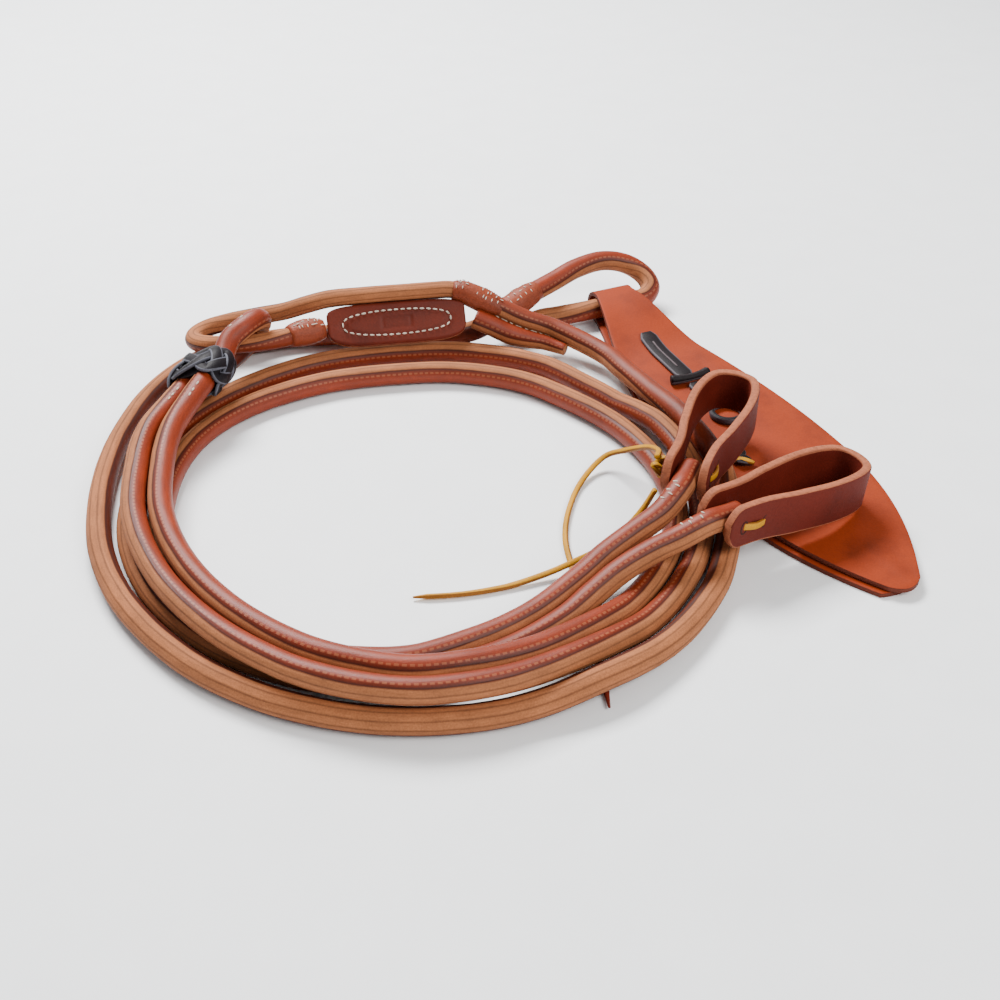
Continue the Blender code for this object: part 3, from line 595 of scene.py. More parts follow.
def rolled_leather(name, grain, edge, shine):
    """Grain side, stitched groove, cut edge with its layers, groove; X of the sweep runs round it."""
    shade = Shade(name)
    x, y, _ = shade.split(shade.sweep())
    wobble = shade.noise(shade.sweep((0.0, 30.0, 1.0)), 1.0, 2.0)
    shifted = shade.math("ADD", x, shade.math("MULTIPLY", shade.math("SUBTRACT", wobble, 0.5), 0.035))
    # dark and deep darken the grain side into the seam grooves at 0, SEAM_AT and 1: painted shade in the
    # grooves
    dark, deep, light = toned(grain, 0.30), toned(grain, 0.62), toned(grain, 1.18)
    # light, at 0.18 of the way round, is a painted highlight band along the grain side
    bands = [(0.000, dark), (0.022, deep), (0.060, grain), (0.180, light), (0.340, grain)]
    bands += [(0.520, deep), (0.562, dark), (0.580, dark), (0.600, edge)]
    for k in range(1, EDGE_LAYERS):
        middle = SEAM_AT + (1 - SEAM_AT) * k / EDGE_LAYERS
        bands += [(middle - 0.022, toned(edge, 1.12)), (middle, toned(edge, 0.52)), (middle + 0.018, edge)]
    # the dark stop at 0.995 is painted shade in the groove where the turn closes
    bands += [(0.975, edge), (0.995, dark)]
    fibres = shade.noise(shade.sweep((26.0, 90.0, 1.0)), 1.0, 5.0, 0.7)
    speckle = shade.noise(shade.place(), 1500.0, 3.0, 0.7)
    patches = shade.noise(shade.place(), 55.0, 3.0)
    base = shade.mottled(shade.ramp(shifted, bands), 0.55, fibres, (0.30, 0.36), (0.62, 0.66))
    base = shade.mottled(base, 0.50, patches, (0.28, 0.36), (0.72, 0.62))
    base = shade.mottled(base, 0.50, speckle, (0.35, 0.34), (0.66, 0.70))
    dash = shade.math("GREATER_THAN", shade.math("FRACT", shade.math("DIVIDE", y, STITCH_PITCH)), 0.38)
    near = shade.math("LESS_THAN", shade.math("ABSOLUTE", shade.math("SUBTRACT", x, 0.055)), 0.014)
    seam = shade.math("MULTIPLY", shade.math("MULTIPLY", dash, near), 0.30)
    shade.colour(shade.mix(seam, base, SEAM_THREAD))
    on_edge = shade.math("GREATER_THAN", shifted, SEAM_AT)
    shade.rough(speckle, 0.14, shade.scaled(on_edge, 0.30, shine))
    relief = shade.math("ADD", shade.math("MULTIPLY", fibres, 0.6), shade.math("MULTIPLY", speckle, 0.5))
    shade.bump(shade.scaled(seam, 1.2, relief), 0.45, 0.00035)
    shade.set(Specular_IOR_Level=0.26)
    return shade.material


def flat_leather(name, tone, shine, pores=0.35, mottle=0.35):
    """Smooth grain side of a strap: fine pores, soft mottling, a little burnish."""
    shade = Shade(name)
    patches = shade.noise(shade.place(), 38.0, 3.0)
    specks = shade.noise(shade.place(), 1100.0, 3.0, 0.7)
    creases = shade.cells(shade.place(), 900.0)
    base = shade.ramp(patches, [(0.28, toned(tone, 0.66)), (0.50, tone), (0.74, toned(tone, 1.14))])
    shade.colour(shade.mottled(base, mottle, specks, (0.34, 0.34), (0.66, 0.66)))
    shade.rough(patches, 0.22, shine)
    relief = shade.math("ADD", shade.math("MULTIPLY", specks, 0.7), shade.math("MULTIPLY", creases, 0.5))
    shade.bump(relief, pores, 0.0003)
    shade.set(Specular_IOR_Level=0.20)
    return shade.material


def cut_edge(name, tone):
    """Raw cut edge: fibres run along it, with darker and lighter patches."""
    shade = Shade(name)
    fibres = shade.noise(shade.place((1, 1, 5)), 500.0, 5.0, 0.75)
    patches = shade.noise(shade.place(), 90.0, 2.0)
    base = shade.ramp(fibres, [(0.30, toned(tone, 0.55)), (0.50, tone), (0.68, toned(tone, 1.25))])
    shade.colour(shade.mottled(base, 0.40, patches, (0.30, 0.38), (0.70, 0.62)))
    shade.rough(fibres, 0.2, 0.62)
    shade.bump(fibres, 0.55, 0.0004)
    shade.set(Specular_IOR_Level=0.20)
    return shade.material


def lace_leather(name, top, side, tip=None):
    """Latigo lace: coloured faces, other cut sides at X 0 and 1 of the sweep. tip is the run from
    which the lace keeps its darker red dye."""
    shade = Shade(name)
    x, y, _ = shade.split(shade.sweep())
    off = shade.math("ABSOLUTE", shade.math("SUBTRACT", x, 0.5))
    specks = shade.noise(shade.place(), 1300.0, 3.0, 0.7)
    patches = shade.noise(shade.place(), 70.0, 2.0)
    base = shade.ramp(off, [(0.0, top), (LACE_FACE - 0.02, top), (LACE_FACE + 0.02, side)])
    if tip:
        base = shade.mix(shade.math("GREATER_THAN", y, tip), base, TIP_RED)
    base = shade.mottled(base, 0.45, specks, (0.34, 0.34), (0.66, 0.66))
    shade.colour(shade.mottled(base, 0.50, patches, (0.30, 0.34), (0.70, 0.64)))
    shade.rough(specks, 0.25, 0.42)
    shade.bump(specks, 0.40, 0.0003)
    shade.set(Specular_IOR_Level=0.16)
    return shade.material


def thread(name, tone):
    shade = Shade(name)
    waves = {"Vector": shade.place(), "Scale": 700.0, "Distortion": 2.0}
    ply = shade.node("ShaderNodeTexWave", waves).outputs["Fac"]
    tint = shade.noise(shade.place(), 300.0, 2.0)
    shade.colour(shade.ramp(tint, [(0.35, toned(tone, 0.68)), (0.60, tone)]))
    shade.rough(tint, 0.2, 0.55)
    shade.bump(ply, 0.5, 0.0003)
    shade.set(Specular_IOR_Level=0.3)
    return shade.material


# ---- making pieces
def angles(count):
    return [2 * math.pi * k / count for k in range(count)]


def mesh_of(name, form):
    mesh = bpy.data.meshes.new(name)
    form.to_mesh(mesh)
    form.free()
    return mesh


def mesh_from(name, vertices, faces, places=()):
    """A mesh from its lists; places are the sweep map's (X, Y) of each face corner."""
    mesh = bpy.data.meshes.new(name)
    mesh.from_pydata(vertices, [], faces)
    if places:
        layer = mesh.uv_layers.new(name=SWEEP_MAP)
        layer.data.foreach_set("uv", [value for place in places for value in place])
    return mesh


def quad(i, j, k, sides):
    """The face between rings i and j from their point k to the next, going round."""
    m = (k + 1) % sides
    return (i * sides + k, i * sides + m, j * sides + m, j * sides + k)


def add(name, mesh, body, replaced=(), materials=(), place=None):
    for material in materials:
        mesh.materials.append(material)
    piece = in_scene(name, mesh)
    if place:
        piece.matrix_world = place
    mesh.shade_smooth()
    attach(piece, body)
    if replaced:
        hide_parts(*replaced)
    return piece


def swept_mesh(name, points, section, cyclic=False, steady=None):
    """A closed tube through points. section(share, run, point) gives the ring's (right, up) offsets,
    and the sweep map's X for each of its points. steady is the direction that 'up' leans to."""
    count = len(points)
    up_hint = steady or Vector((0, 0, 1))
    lengths = runs_of(points)
    total = lengths[-1] + ((points[0] - points[-1]).length if cyclic else 0.0)
    vertices = []
    marks = []
    right = None
    for i, point in enumerate(points):
        if cyclic:
            tangent = (points[(i + 1) % count] - points[i - 1]).normalized()
        else:
            tangent = (points[min(i + 1, count - 1)] - points[max(i - 1, 0)]).normalized()
        wanted = tangent.cross(up_hint)
        if right is not None:
            carried = (right - tangent * right.dot(tangent)).normalized()
            level = min(1.0, wanted.length / 0.5)
            wanted = carried.lerp(wanted.normalized(), level) if wanted.length > 1e-4 else carried
        right = wanted.normalized()
        up = right.cross(tangent)
        ring, across = section(lengths[i] / total, lengths[i], point)
        vertices += [point + right * a + up * b for a, b in ring]
        marks.append(across)
    sides = len(marks[0]) - 1
    faces = []
    places = []
    rows = count if cyclic else count - 1
    for i in range(rows):
        j = (i + 1) % count
        far = lengths[j] if j else total
        for k in range(sides):
            faces.append(quad(i, j, k, sides))
            places += [(marks[i][k], lengths[i]), (marks[i][k + 1], lengths[i])]
            places += [(marks[j][k + 1], far), (marks[j][k], far)]
    if not cyclic:
        first = tuple(range(sides - 1, -1, -1))
        last = tuple(range((count - 1) * sides, count * sides))
        for cap, length in ((first, 0.0), (last, lengths[-1])):
            faces.append(cap)
            places += [(CAP_PLACE, length)] * sides
    return mesh_from(name, vertices, faces, places)


def between(stops, run):
    """Smooth value at a run from (run, value) stops."""
    if run <= stops[0][0]:
        return stops[0][1]
    for (start, first), (end, second) in zip(stops, stops[1:]):
        if run < end:
            share = (run - start) / (end - start)
            return first + (second - first) * share * share * (3 - 2 * share)
    return stops[-1][1]


def rolled_section(diameter, turns, lean, skived):
    """The section of a rolled strand: round, grooved at both seams, flatter where the edge shows.

    turns gives the grain side's direction, in turns from the strand's right, as (run, turn) stops.
    lean turns it by the place in the coil. skived is the length over which the far end thins out."""

    def section(share, run, point):
        radial = (point - COIL_CENTRE).to_2d().normalized()
        turn = between(turns, run) + lean * radial.y
        turn += SEAM_WANDER * math.sin(2 * math.pi * run / WANDER_LENGTH)
        left = run / share - run if share > 0 else 1.0
        thin = 1.0 if left >= skived else SKIVED_END + (1 - SKIVED_END) * left / skived
        ring = []
        across = [k / STRAND_SIDES for k in range(STRAND_SIDES + 1)]
        for x in across[:-1]:
            radius = 1.0
            for groove in (0.0, SEAM_AT, 1.0):
                radius -= GROOVE_DEPTH * math.exp(-(((x - groove) / 0.022) ** 2))
            if x > SEAM_AT:
                level = (x - SEAM_AT) / (1 - SEAM_AT)
                radius -= 0.030 * math.sin(math.pi * level)
                radius += 0.010 * math.cos(2 * math.pi * EDGE_LAYERS * level)
            radius += 0.014 * noise.noise(Vector((4 * x, run * 90.0, diameter * 1e3)))
            angle = 2 * math.pi * (turn + x - SEAM_AT / 2)
            reach = radius * thin * diameter / 2
            ring.append((reach * math.cos(angle), reach * math.sin(angle)))
        return ring, across

    return section


def rounded_ring(half_a, half_b, corner, steps):
    """Points round a rectangle with rounded corners, starting at its upper right one."""
    ring = []
    for quarter, (a, b) in enumerate(((1, 1), (-1, 1), (-1, -1), (1, -1))):
        for k in range(steps):
            angle = math.pi / 2 * (quarter + k / (steps - 1))
            right = a * (half_a - corner) + corner * math.cos(angle)
            ring.append((right, b * (half_b - corner) + corner * math.sin(angle)))
    return ring


def flat_section(width, thickness, upright=False):
    """A rounded flat band; X of the sweep runs across its width."""
    ring = rounded_ring(width / 2, thickness / 2, min(0.45 * thickness, 0.3 * width), 3)
    across = [0.5 + a / width for a, _ in ring]
    if upright:
        ring = [(b, a) for a, b in reversed(ring)]
        across.reverse()
    across.append(across[0])
    return lambda share, run, point: (ring, across)


def strand(name, node, points, diameter, turns, material, lean=0.0, skived=0.0):
    section = rolled_section(diameter, turns, lean, skived)
    return add(name, swept_mesh(name, points, section), "coil", (node,), [material])


def stitches(name, marks, size):
    """One mesh of short raised stitches. A mark is (place, direction, outward)."""
    length, thickness = size
    form = bmesh.new()
    for place, along, out in marks:
        along = along.normalized()
        side = out.cross(along).normalized()
        out = along.cross(side)
        turn = Matrix((along, side, out)).transposed().to_4x4()
        shape = Matrix.Diagonal((length / 2, thickness / 2, 0.42 * thickness, 1.0))
        placed = Matrix.Translation(place) @ turn @ shape
        bmesh.ops.create_uvsphere(form, u_segments=8, v_segments=5, radius=1.0, matrix=placed)
    return add(name, mesh_of(name, form), "coil", (), [WHITE])


# ---- reins, knot, linked loops
def settled(points, diameter):
    return [Vector((p.x, p.y, max(p.z, diameter / 2))) for p in points]


def rein_route(side, coil_stations, end, strap):
    route = [in_knot(-along, side) for along in INSIDE_KNOT]
    route += [around(*station) for station in coil_stations]
    route += [at(point) for point in end]
    route += [strap @ Vector((u - LACE_AT, 0, 0)) for u in (-0.004, 0.004, REIN_TONGUE)]
    return settled([lifted(p) for p in smooth(route, LOOK_STEP)], REIN_DIAMETER)


def make_reins():
    routes = {
        "rein_right": rein_route(1, REIN_RIGHT_COIL, REIN_RIGHT_END, right_frame()),
        "rein_left": rein_route(-1, REIN_LEFT_COIL, REIN_LEFT_END, left_frame()),
    }
    for name, turns in (("rein_right", RIGHT_TURNS), ("rein_left", LEFT_TURNS)):
        points = routes[name]
        piece = strand(name + "_leather", name, points, REIN_DIAMETER, turns, ROLLED, REIN_LEAN)
    route = [in_knot(along, -1) for along in INSIDE_KNOT]
    route += [at(point) for point in REIN_LOOP]
    route += [in_knot(along, 1) for along in reversed(INSIDE_KNOT)]
    loop = smooth(route, LOOK_STEP)
    strand("rein_end_loop_leather", "rein_end_loop", loop, REIN_DIAMETER, END_LOOP_TURNS, ROLLED)
    marks = []
    for points in routes.values():
        for back, side in END_STITCHES:
            index = len(points) - 1 - int(back / LOOK_STEP)
            marks.append(surface_mark(points, index, REIN_DIAMETER, side, True))
        for ahead in KNOT_STITCHES:
            marks.append(surface_mark(points, int(ahead / LOOK_STEP), REIN_DIAMETER, 0.30, False))
    for ahead in LOOP_STITCHES:
        marks.append(surface_mark(loop, int(ahead / LOOK_STEP), REIN_DIAMETER, 0.28, False))
    stitches("rein_stitches", marks, REIN_STITCH)


def surface_mark(points, index, diameter, side, across):
    """(place, direction, outward) on a strand's surface, side turns round from its right."""
    tangent = (points[index + 1] - points[index - 1]).normalized()
    right = tangent.cross(Vector((0, 0, 1))).normalized()
    up = right.cross(tangent)
    angle = 2 * math.pi * side
    out = right * math.cos(angle) + up * math.sin(angle)
    direction = tangent.cross(out) if across else tangent
    return points[index] + out * (diameter / 2), direction, out


def knot_body(along, angle, height):
    """A point on the braided knot: a barrel over the two reins, height above its inner wall."""
    share = along / (KNOT_LENGTH / 2)
    wall = (KNOT_INNER + height) * (1 - 0.22 * share * share)
    x, y = math.cos(angle), math.sin(angle)
    reach = REIN_PITCH / 2 * (x / math.sqrt(x * x + 0.10))
    return knot_matrix() @ Vector((along, reach + wall * x, wall * y))


def make_knot_core():
    """The dark sleeve that shows between the laces of the knot."""
    rings, sides = 25, 40
    vertices = []
    for i in range(rings):
        along = KNOT_LENGTH * (i / (rings - 1) - 0.5) * 0.97
        edge = 0.0016 * (abs(2 * i / (rings - 1) - 1) ** 6)
        vertices += [knot_body(along, angle, 0.0012 - edge) for angle in angles(sides)]
    faces = [quad(i, i + 1, k, sides) for i in range(rings - 1) for k in range(sides)]
    mesh = mesh_from("knot_core", vertices, faces)
    core = add("knot_core", mesh, "coil", ("rein_knot",), [LATIGO])
    core.modifiers.new("wall", "SOLIDIFY").thickness = 0.0010


def make_knot():
    """A turk's head of flat lace: it goes round three times while it crosses from end to end."""
    make_knot_core()
    steps, sides = 420, len(BRAID_PROFILE)
    centre, outward = [], []
    for t in angles(steps):
        along = 0.40 * KNOT_LENGTH * math.cos(KNOT_BIGHTS * t)
        height = 0.0022 + 0.0007 * math.sin(2 * KNOT_BIGHTS * t)
        centre.append(knot_body(along, KNOT_TURNS * t, height))
        outward.append((knot_body(along, KNOT_TURNS * t, height + 0.001) - centre[-1]).normalized())
    vertices, faces, places = [], [], []
    for i, out in enumerate(outward):
        j = (i + 1) % steps
        side = out.cross((centre[j] - centre[i - 1]).normalized()).normalized()
        for k, (a, b, first) in enumerate(BRAID_PROFILE):
            vertices.append(centre[i] + side * (a * KNOT_LACE_WIDTH / 2) + out * (b * 0.0012))
            faces.append(quad(i, j, k, sides))
            second = BRAID_PROFILE[k + 1][2] if k + 1 < sides else 0.0
            places += [(first, 0.0), (second, 0.0), (second, 0.01), (first, 0.01)]
    mesh = mesh_from("knot_braid", vertices, faces, places)
    add("knot_braid", mesh, "coil", (), [KNOT_LACE])
    form = bmesh.new()
    form.from_mesh(mesh)
    bmesh.ops.recalc_face_normals(form, faces=form.faces)
    form.to_mesh(mesh)
    form.free()


def swell_at(share):
    """A sleeve's radius at a share of its length: thin at the ends, thick in the middle."""
    return 0.62 + 0.38 * math.sin(math.pi * min(max(share, 0.02), 0.98)) ** 0.40


def sleeve(name, chosen, radius, rows, replaced=()):
    """A sewn sleeve round a strand, whipped with rows of thread."""

    def section(share, run, point):
        ring = []
        across = [k / SLEEVE_SIDES for k in range(SLEEVE_SIDES + 1)]
        for x in across[:-1]:
            bumpy = 1 + 0.060 * noise.noise(Vector((5 * x, run * 240.0, radius * 900)))
            bumpy += 0.022 * noise.noise(Vector((14 * x, run * 700.0, radius * 500)))
            size = radius * swell_at(share) * bumpy
            angle = 2 * math.pi * x
            ring.append((size * math.cos(angle), 0.93 * size * math.sin(angle)))
        return ring, [0.05 + 0.45 * x for x in across]

    add(name, swept_mesh(name, chosen, section), "coil", replaced, [SEWN])
    marks = []
    picked = random.Random(len(chosen))
    for share, side in rows:
        index = min(max(round(share * (len(chosen) - 1)), 1), len(chosen) - 2)
        turn = side + picked.uniform(-0.015, 0.015)
        width = 1.94 * radius * swell_at(share)
        marks.append(surface_mark(chosen, index, width, turn, picked.random() < 0.7))
    stitches(name + "_thread", marks, SLEEVE_STITCH)


def thread_rows(sides, count):
    """Places of stitches on a sleeve: rows along it at the given sides, in turns."""
    rows = []
    for number, side in enumerate(sides):
        rows += [(0.08 + (0.92 - 0.08) * (k + 0.5 * (number % 2)) / count, side) for k in range(count)]
    return rows


def make_connector():
    points = smooth([at(p) for p in CONNECTOR], LOOK_STEP)
    strand("connector_leather", "connector_strand", points, LINK_DIAMETER, CONNECTOR_TURNS, ROLLED_TAN)
    start = points[: int(0.022 / LOOK_STEP)]
    rows = thread_rows((0.20, 0.27, 0.34), 6)
    sleeve("connector_join", start, CONNECTOR_SLEEVE, rows)
    frame_matrix = panel_matrix()
    for name, side, node in (("panel_face", 1, "panel_front"), ("panel_lining", -1, "panel_back")):
        mesh = panel_mesh(name, side)
        add(name, mesh, "coil", (node,), [PANEL_LEATHER, STRAP_EDGE], frame_matrix)
    height = GAP / 2 + PANEL_LAYER + 0.0004
    marks = []
    oval = smooth_oval(OVAL_LENGTH, OVAL_HEIGHT, PANEL_STITCHES)
    for k, (x, y) in enumerate(oval):
        nx, ny = oval[(k + 1) % len(oval)]
        px, py = oval[k - 1]
        place = frame_matrix @ Vector((x, y, height))
        along = frame_matrix.to_3x3() @ Vector((nx - px, ny - py, 0))
        marks.append((place, along, frame_matrix.to_3x3() @ Vector((0, 0, 1))))
    piece = stitches("panel_oval_stitches", marks, PANEL_STITCH)
    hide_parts("panel_stitching")


def smooth_oval(length, height, count):
    """Evenly spaced points of an oval with pointed-off ends."""
    fine = []
    for t in angles(720):
        x, y = math.cos(t), math.sin(t)
        across = length / 2 * math.copysign(abs(x) ** 0.92, x)
        fine.append((across, height / 2 * math.copysign(abs(y) ** 0.72, y)))
    steps = [math.dist(point, fine[k - 1]) for k, point in enumerate(fine)]
    result, walked, wanted = [], 0.0, 0.0
    for point, step in zip(fine, steps):
        walked += step
        if walked >= wanted and len(result) < count:
            result.append(point)
            wanted += sum(steps) / count
    return result


def panel_mesh(name, side):
    """One leather layer of the panel: domed a little, edges rounded, an impressed plain frame."""
    form = bmesh.new()
    columns, lines = 88, 30
    bmesh.ops.create_grid(form, x_segments=columns, y_segments=lines, size=0.5)
    base = side * GAP / 2
    for vertex in form.verts:
        u, v = 2 * vertex.co.x, 2 * vertex.co.y
        round_end = math.sqrt(max(0.0, 1 - abs(u) ** 5))
        x = u * PANEL_LENGTH / 2
        y = v * PANEL_HEIGHT / 2 * (0.42 + 0.58 * round_end) + 0.0015 * (1 - round_end)
        rim = min(1.0, (1 - max(abs(u) ** 8, abs(v))) * 9)
        z = base + side * (PANEL_LAYER * (0.55 + 0.45 * math.sqrt(max(rim, 0.0))))
        if side > 0:
            oval = (x / (OVAL_LENGTH / 2)) ** 2 + (y / (OVAL_HEIGHT / 2)) ** 2
            z -= 0.00035 * math.exp(-(((math.sqrt(oval) - 1) / 0.09) ** 2))
            frame_distance = max(abs(x) - MARK_LENGTH / 2, abs(y) - MARK_HEIGHT / 2)
            z -= 0.00040 * math.exp(-((frame_distance / 0.0005) ** 2))
            z -= 0.00018 * (frame_distance < 0)
        vertex.co = (x, y, z)
    outline = [edge for edge in form.edges if edge.is_boundary]
    extruded = bmesh.ops.extrude_edge_only(form, edges=outline)["geom"]
    for item in extruded:
        if isinstance(item, bmesh.types.BMVert):
            item.co.z = base
        elif isinstance(item, bmesh.types.BMFace):
            item.material_index = 1
    bmesh.ops.holes_fill(form, edges=[edge for edge in form.edges if edge.is_boundary])
    bmesh.ops.recalc_face_normals(form, faces=form.faces)
    return mesh_of(name, form)


# ---- romal
def hugging(points, strand_points, skived):
    """The points of a skived leg, moved to lie against the strand that it is sewn to."""
    total = runs_of(points)[-1]
    run = 0.0
    moved = []
    for i, point in enumerate(points):
        run += (point - points[i - 1]).length if i else 0.0
        thin = min(1.0, SKIVED_END + (1 - SKIVED_END) * (total - run) / skived)
        near = min(strand_points, key=lambda other: (other - point).length)
        moved.append(near + (point - near).normalized() * (0.49 * (1 + thin) * ROMAL_DIAMETER))
    return moved


def make_romal():
    route = [at(p) for p in ROMAL_START] + [around(*station) for station in ROMAL_COIL]
    route += [at(p) for p in ROMAL_END]
    for before in (0.0110, 0.0010):
        route.append(throat_matrix() @ Vector((-THROAT_LENGTH / 2 - before, 0, 0)))
    points = settled([lifted(p) for p in smooth(route, LOOK_STEP)], ROMAL_DIAMETER)
    piece = strand("romal_leather", "romal_strand", points, ROMAL_DIAMETER, ROMAL_TURNS, ROLLED_TAN)
    eye = hugging(smooth([at(p) for p in EYE_LEG], LOOK_STEP), points, EYE_SKIVED)
    strand("eye_leg_leather", "romal_eye_leg", eye, ROMAL_DIAMETER, EYE_TURNS, ROLLED, 0.0, EYE_SKIVED)
    axis = throat_matrix()
    loop_route = [axis @ Vector((THROAT_LENGTH / 2 + 2 * GAP, 0, 0))]
    loop_route += [at(p) for p in POPPER_LOOP]
    loop = smooth(loop_route, LOOK_STEP)
    strand("popper_loop_leather", "popper_loop", loop, ROMAL_DIAMETER, POPPER_LOOP_TURNS, ROLLED)
    root = [axis @ Vector((THROAT_LENGTH * (1.55 * k / 24 - 0.85), 0, 0)) for k in range(25)]
    rows = thread_rows((0.16, 0.24, 0.33), 7)
    sleeve("throat_sleeve", root, THROAT_SLEEVE, rows, ("romal_throat",))
    link = smooth([at(p) for p in CONNECTOR], LOOK_STEP)
    joint = link[-6:-1] + points[1 : int(0.020 / LOOK_STEP)]
    rows = thread_rows((0.14, 0.22, 0.30, 0.38), 7)
    sleeve("romal_join", joint, ROMAL_SLEEVE, rows)
    marks = []
    for k in range(EYE_STITCHES):
        index = int((EYE_STITCH_START + EYE_STITCH_PITCH * k) / LOOK_STEP)
        marks.append(surface_mark(points, index, ROMAL_DIAMETER, 0.93, False))
    stitches("eye_leg_seam", marks, EYE_STITCH)


# ---- popper and its tie
def make_popper():
    """The folded popper: grain side out, cut edge all round, its layers slightly waved."""
    rows = []
    shares = [k / POPPER_STEPS for k in range(POPPER_STEPS + 1)]
    for share in shares[:-1]:
        s = POPPER_LENGTH * (1 - share)
        rows.append((s, -LAYER_SHIFT * s / POPPER_LENGTH, lower_height(), popper_width(s)))
    radius = (upper_height(0) - lower_height()) / 2
    middle = (upper_height(0) + lower_height()) / 2
    for k in range(FOLD_STEPS + 1):
        turn = math.pi * k / FOLD_STEPS
        height = middle - radius * math.cos(turn)
        rows.append((-POPPER_PLAY - radius * math.sin(turn), 0.0, height, POPPER_NECK))
    for s in (POPPER_LENGTH * share for share in shares):
        rows.append((s, 0.0, upper_height(s), popper_width(s)))
    last = len(rows) - 1
    form = bmesh.new()
    bmesh.ops.create_grid(form, x_segments=last, y_segments=POPPER_COLUMNS, size=0.5)
    for vertex in form.verts:
        row = round((vertex.co.x + 0.5) * last)
        s, side, height, width = rows[row]
        v = 2 * vertex.co.y
        tip = max(0.0, (s / POPPER_LENGTH - POINTED_FROM) / (1 - POINTED_FROM))
        cut = s + POINT_LENGTH * tip * (1 - v * v) * (1 if row > len(rows) / 2 else 0.3)
        if row > len(rows) / 2 + 14:
            wave = max(0.0, noise.noise(Vector((s * 16, v * 1.3, 3.1))))
            height += WAVE_HEIGHT * wave * min(1.0, s / 0.05)
        vertex.co = popper_point(cut, side + v * width / 2, height)
    mesh = mesh_of("popper_leather", form)
    piece = add("popper_leather", mesh, "popper", ("popper",), [POPPER_GRAIN, POPPER_EDGE])
    body = piece.modifiers.new("leather", "SOLIDIFY")
    body.thickness = POPPER_LEATHER
    body.offset = 0.0
    body.use_even_offset = True
    body.material_offset_rim = 1
    edges = piece.modifiers.new("rounded edges", "BEVEL")
    edges.width = 0.0005
    edges.segments = 2
    edges.limit_method = "ANGLE"
    edges.angle_limit = math.radians(60)


def tie_height(s, thickness):
    return upper_height(s) + POPPER_LEATHER / 2 + 1.5 * GAP + thickness / 2


def tie_band(name, start, end, width, node):
    """A flat piece of the dark lace lying on the popper, with pale cut sides."""
    spots = [start + (end - start) * k / 24 for k in range(25)]
    points = [popper_point(s, 0.0, tie_height(s, TIE_THICKNESS)) for s in spots]
    plain = flat_section(width, TIE_THICKNESS)

    def section(share, run, point):
        ring, across = plain(share, run, point)
        taper = min(1.0, 0.62 + 5.0 * min(share, 1 - share))
        return [(a * taper, b) for a, b in ring], across

    mesh = swept_mesh(name, points, section)
    add(name, mesh, "popper", (node,), [TIE_LACE])


def make_tie():
    end = TIE_START + TIE_LENGTH
    tie_band("tie_tab", TIE_START, end, TIE_WIDTH, "popper_tie_tab")
    slit = []
    for k in range(13):
        s = TIE_START + TIE_SLIT_START + TIE_SLIT_LENGTH * k / 12
        slit.append(popper_point(s, 0.0, tie_height(s, TIE_THICKNESS) + 0.52 * TIE_THICKNESS))
    mesh = swept_mesh("tie_slit", slit, flat_section(0.0010, 0.0004))
    add("tie_slit", mesh, "popper", (), [PALE_CUT])
    s = end + GAP + TIE_THICKNESS / 2 + TIE_ROLL / 2
    height = tie_height(s, TIE_ROLL)
    points = []
    for k in range(25):
        bend = 0.0015 * (2 * k / 24 - 1) ** 2
        points.append(popper_point(s - bend, TIE_FLANGE * (k / 24 - 0.5), height))

    def roll_section(share, run, point):
        across = [k / 16 for k in range(17)]
        size = TIE_ROLL / 2 * (0.86 + 0.22 * abs(2 * share - 1) ** 2)
        ring = []
        for x in across[:-1]:
            step = 1 - 0.10 * math.exp(-(((x - 0.30) / 0.05) ** 2))
            ring.append((size * step * math.cos(2 * math.pi * x), size * step * math.sin(2 * math.pi * x)))
        return ring, [0.30 + 0.70 * x for x in across]

    mesh = swept_mesh("tie_roll", points, roll_section)
    add("tie_roll", mesh, "popper", ("popper_tie_roll",), [TIE_LACE])
    start = s + TIE_ROLL / 2 + GAP + TIE_THICKNESS / 2
    tie_band("tie_tail", start, start + TIE_TAIL_LENGTH, 0.8 * TIE_WIDTH, "popper_tie_tail")
    centre = start + TIE_TAIL_LENGTH + TIE_CURL + TIE_CURL_WIDTH / 2 + 2 * GAP
    ring_points = []
    for turn in angles(48):
        place = centre + TIE_CURL * math.cos(turn)
        side = TIE_CURL * math.sin(turn)
        ring_points.append(popper_point(place, side, tie_height(place, TIE_CURL_WIDTH)))
    mesh = swept_mesh("tie_curl", ring_points, flat_section(0.8 * TIE_CURL_WIDTH, TIE_CURL_WIDTH), True)
    add("tie_curl", mesh, "popper", ("popper_tie_curl",), [TIE_LACE])
    make_tie_knot()


def make_tie_knot():
    """The tie's lower fastening: a small knot of the dark lace with a yellow loop through it."""
    centre = popper_point(TIE_KNOT_AT, TIE_KNOT_SIDE, tie_height(TIE_KNOT_AT, TIE_KNOT_SIZE[2]))
    long, wide, high = (size / 2 for size in TIE_KNOT_SIZE)
    turn = Matrix.Rotation(POPPER_HEADING, 4, "Z")
    for name, phase, stretch, material, replaced in (
        ("tie_knot", 0.0, 0.80, TIE_LACE, ("popper_tie_knot",)),
        ("tie_knot_lace", 0.9, 0.95, YELLOW_LACE, ()),
    ):
        points = []
        for t in angles(56):
            spot = Vector((stretch * long * math.sin(t + phase), stretch * wide * math.sin(2 * t), 0))
            spot.z = 0.55 * high * math.cos(3 * t + phase) + 0.3 * high
            points.append(centre + turn @ spot)
        mesh = swept_mesh(name, points, flat_section(0.0026, 0.0016), True)
        add(name, mesh, "popper", replaced, [material])


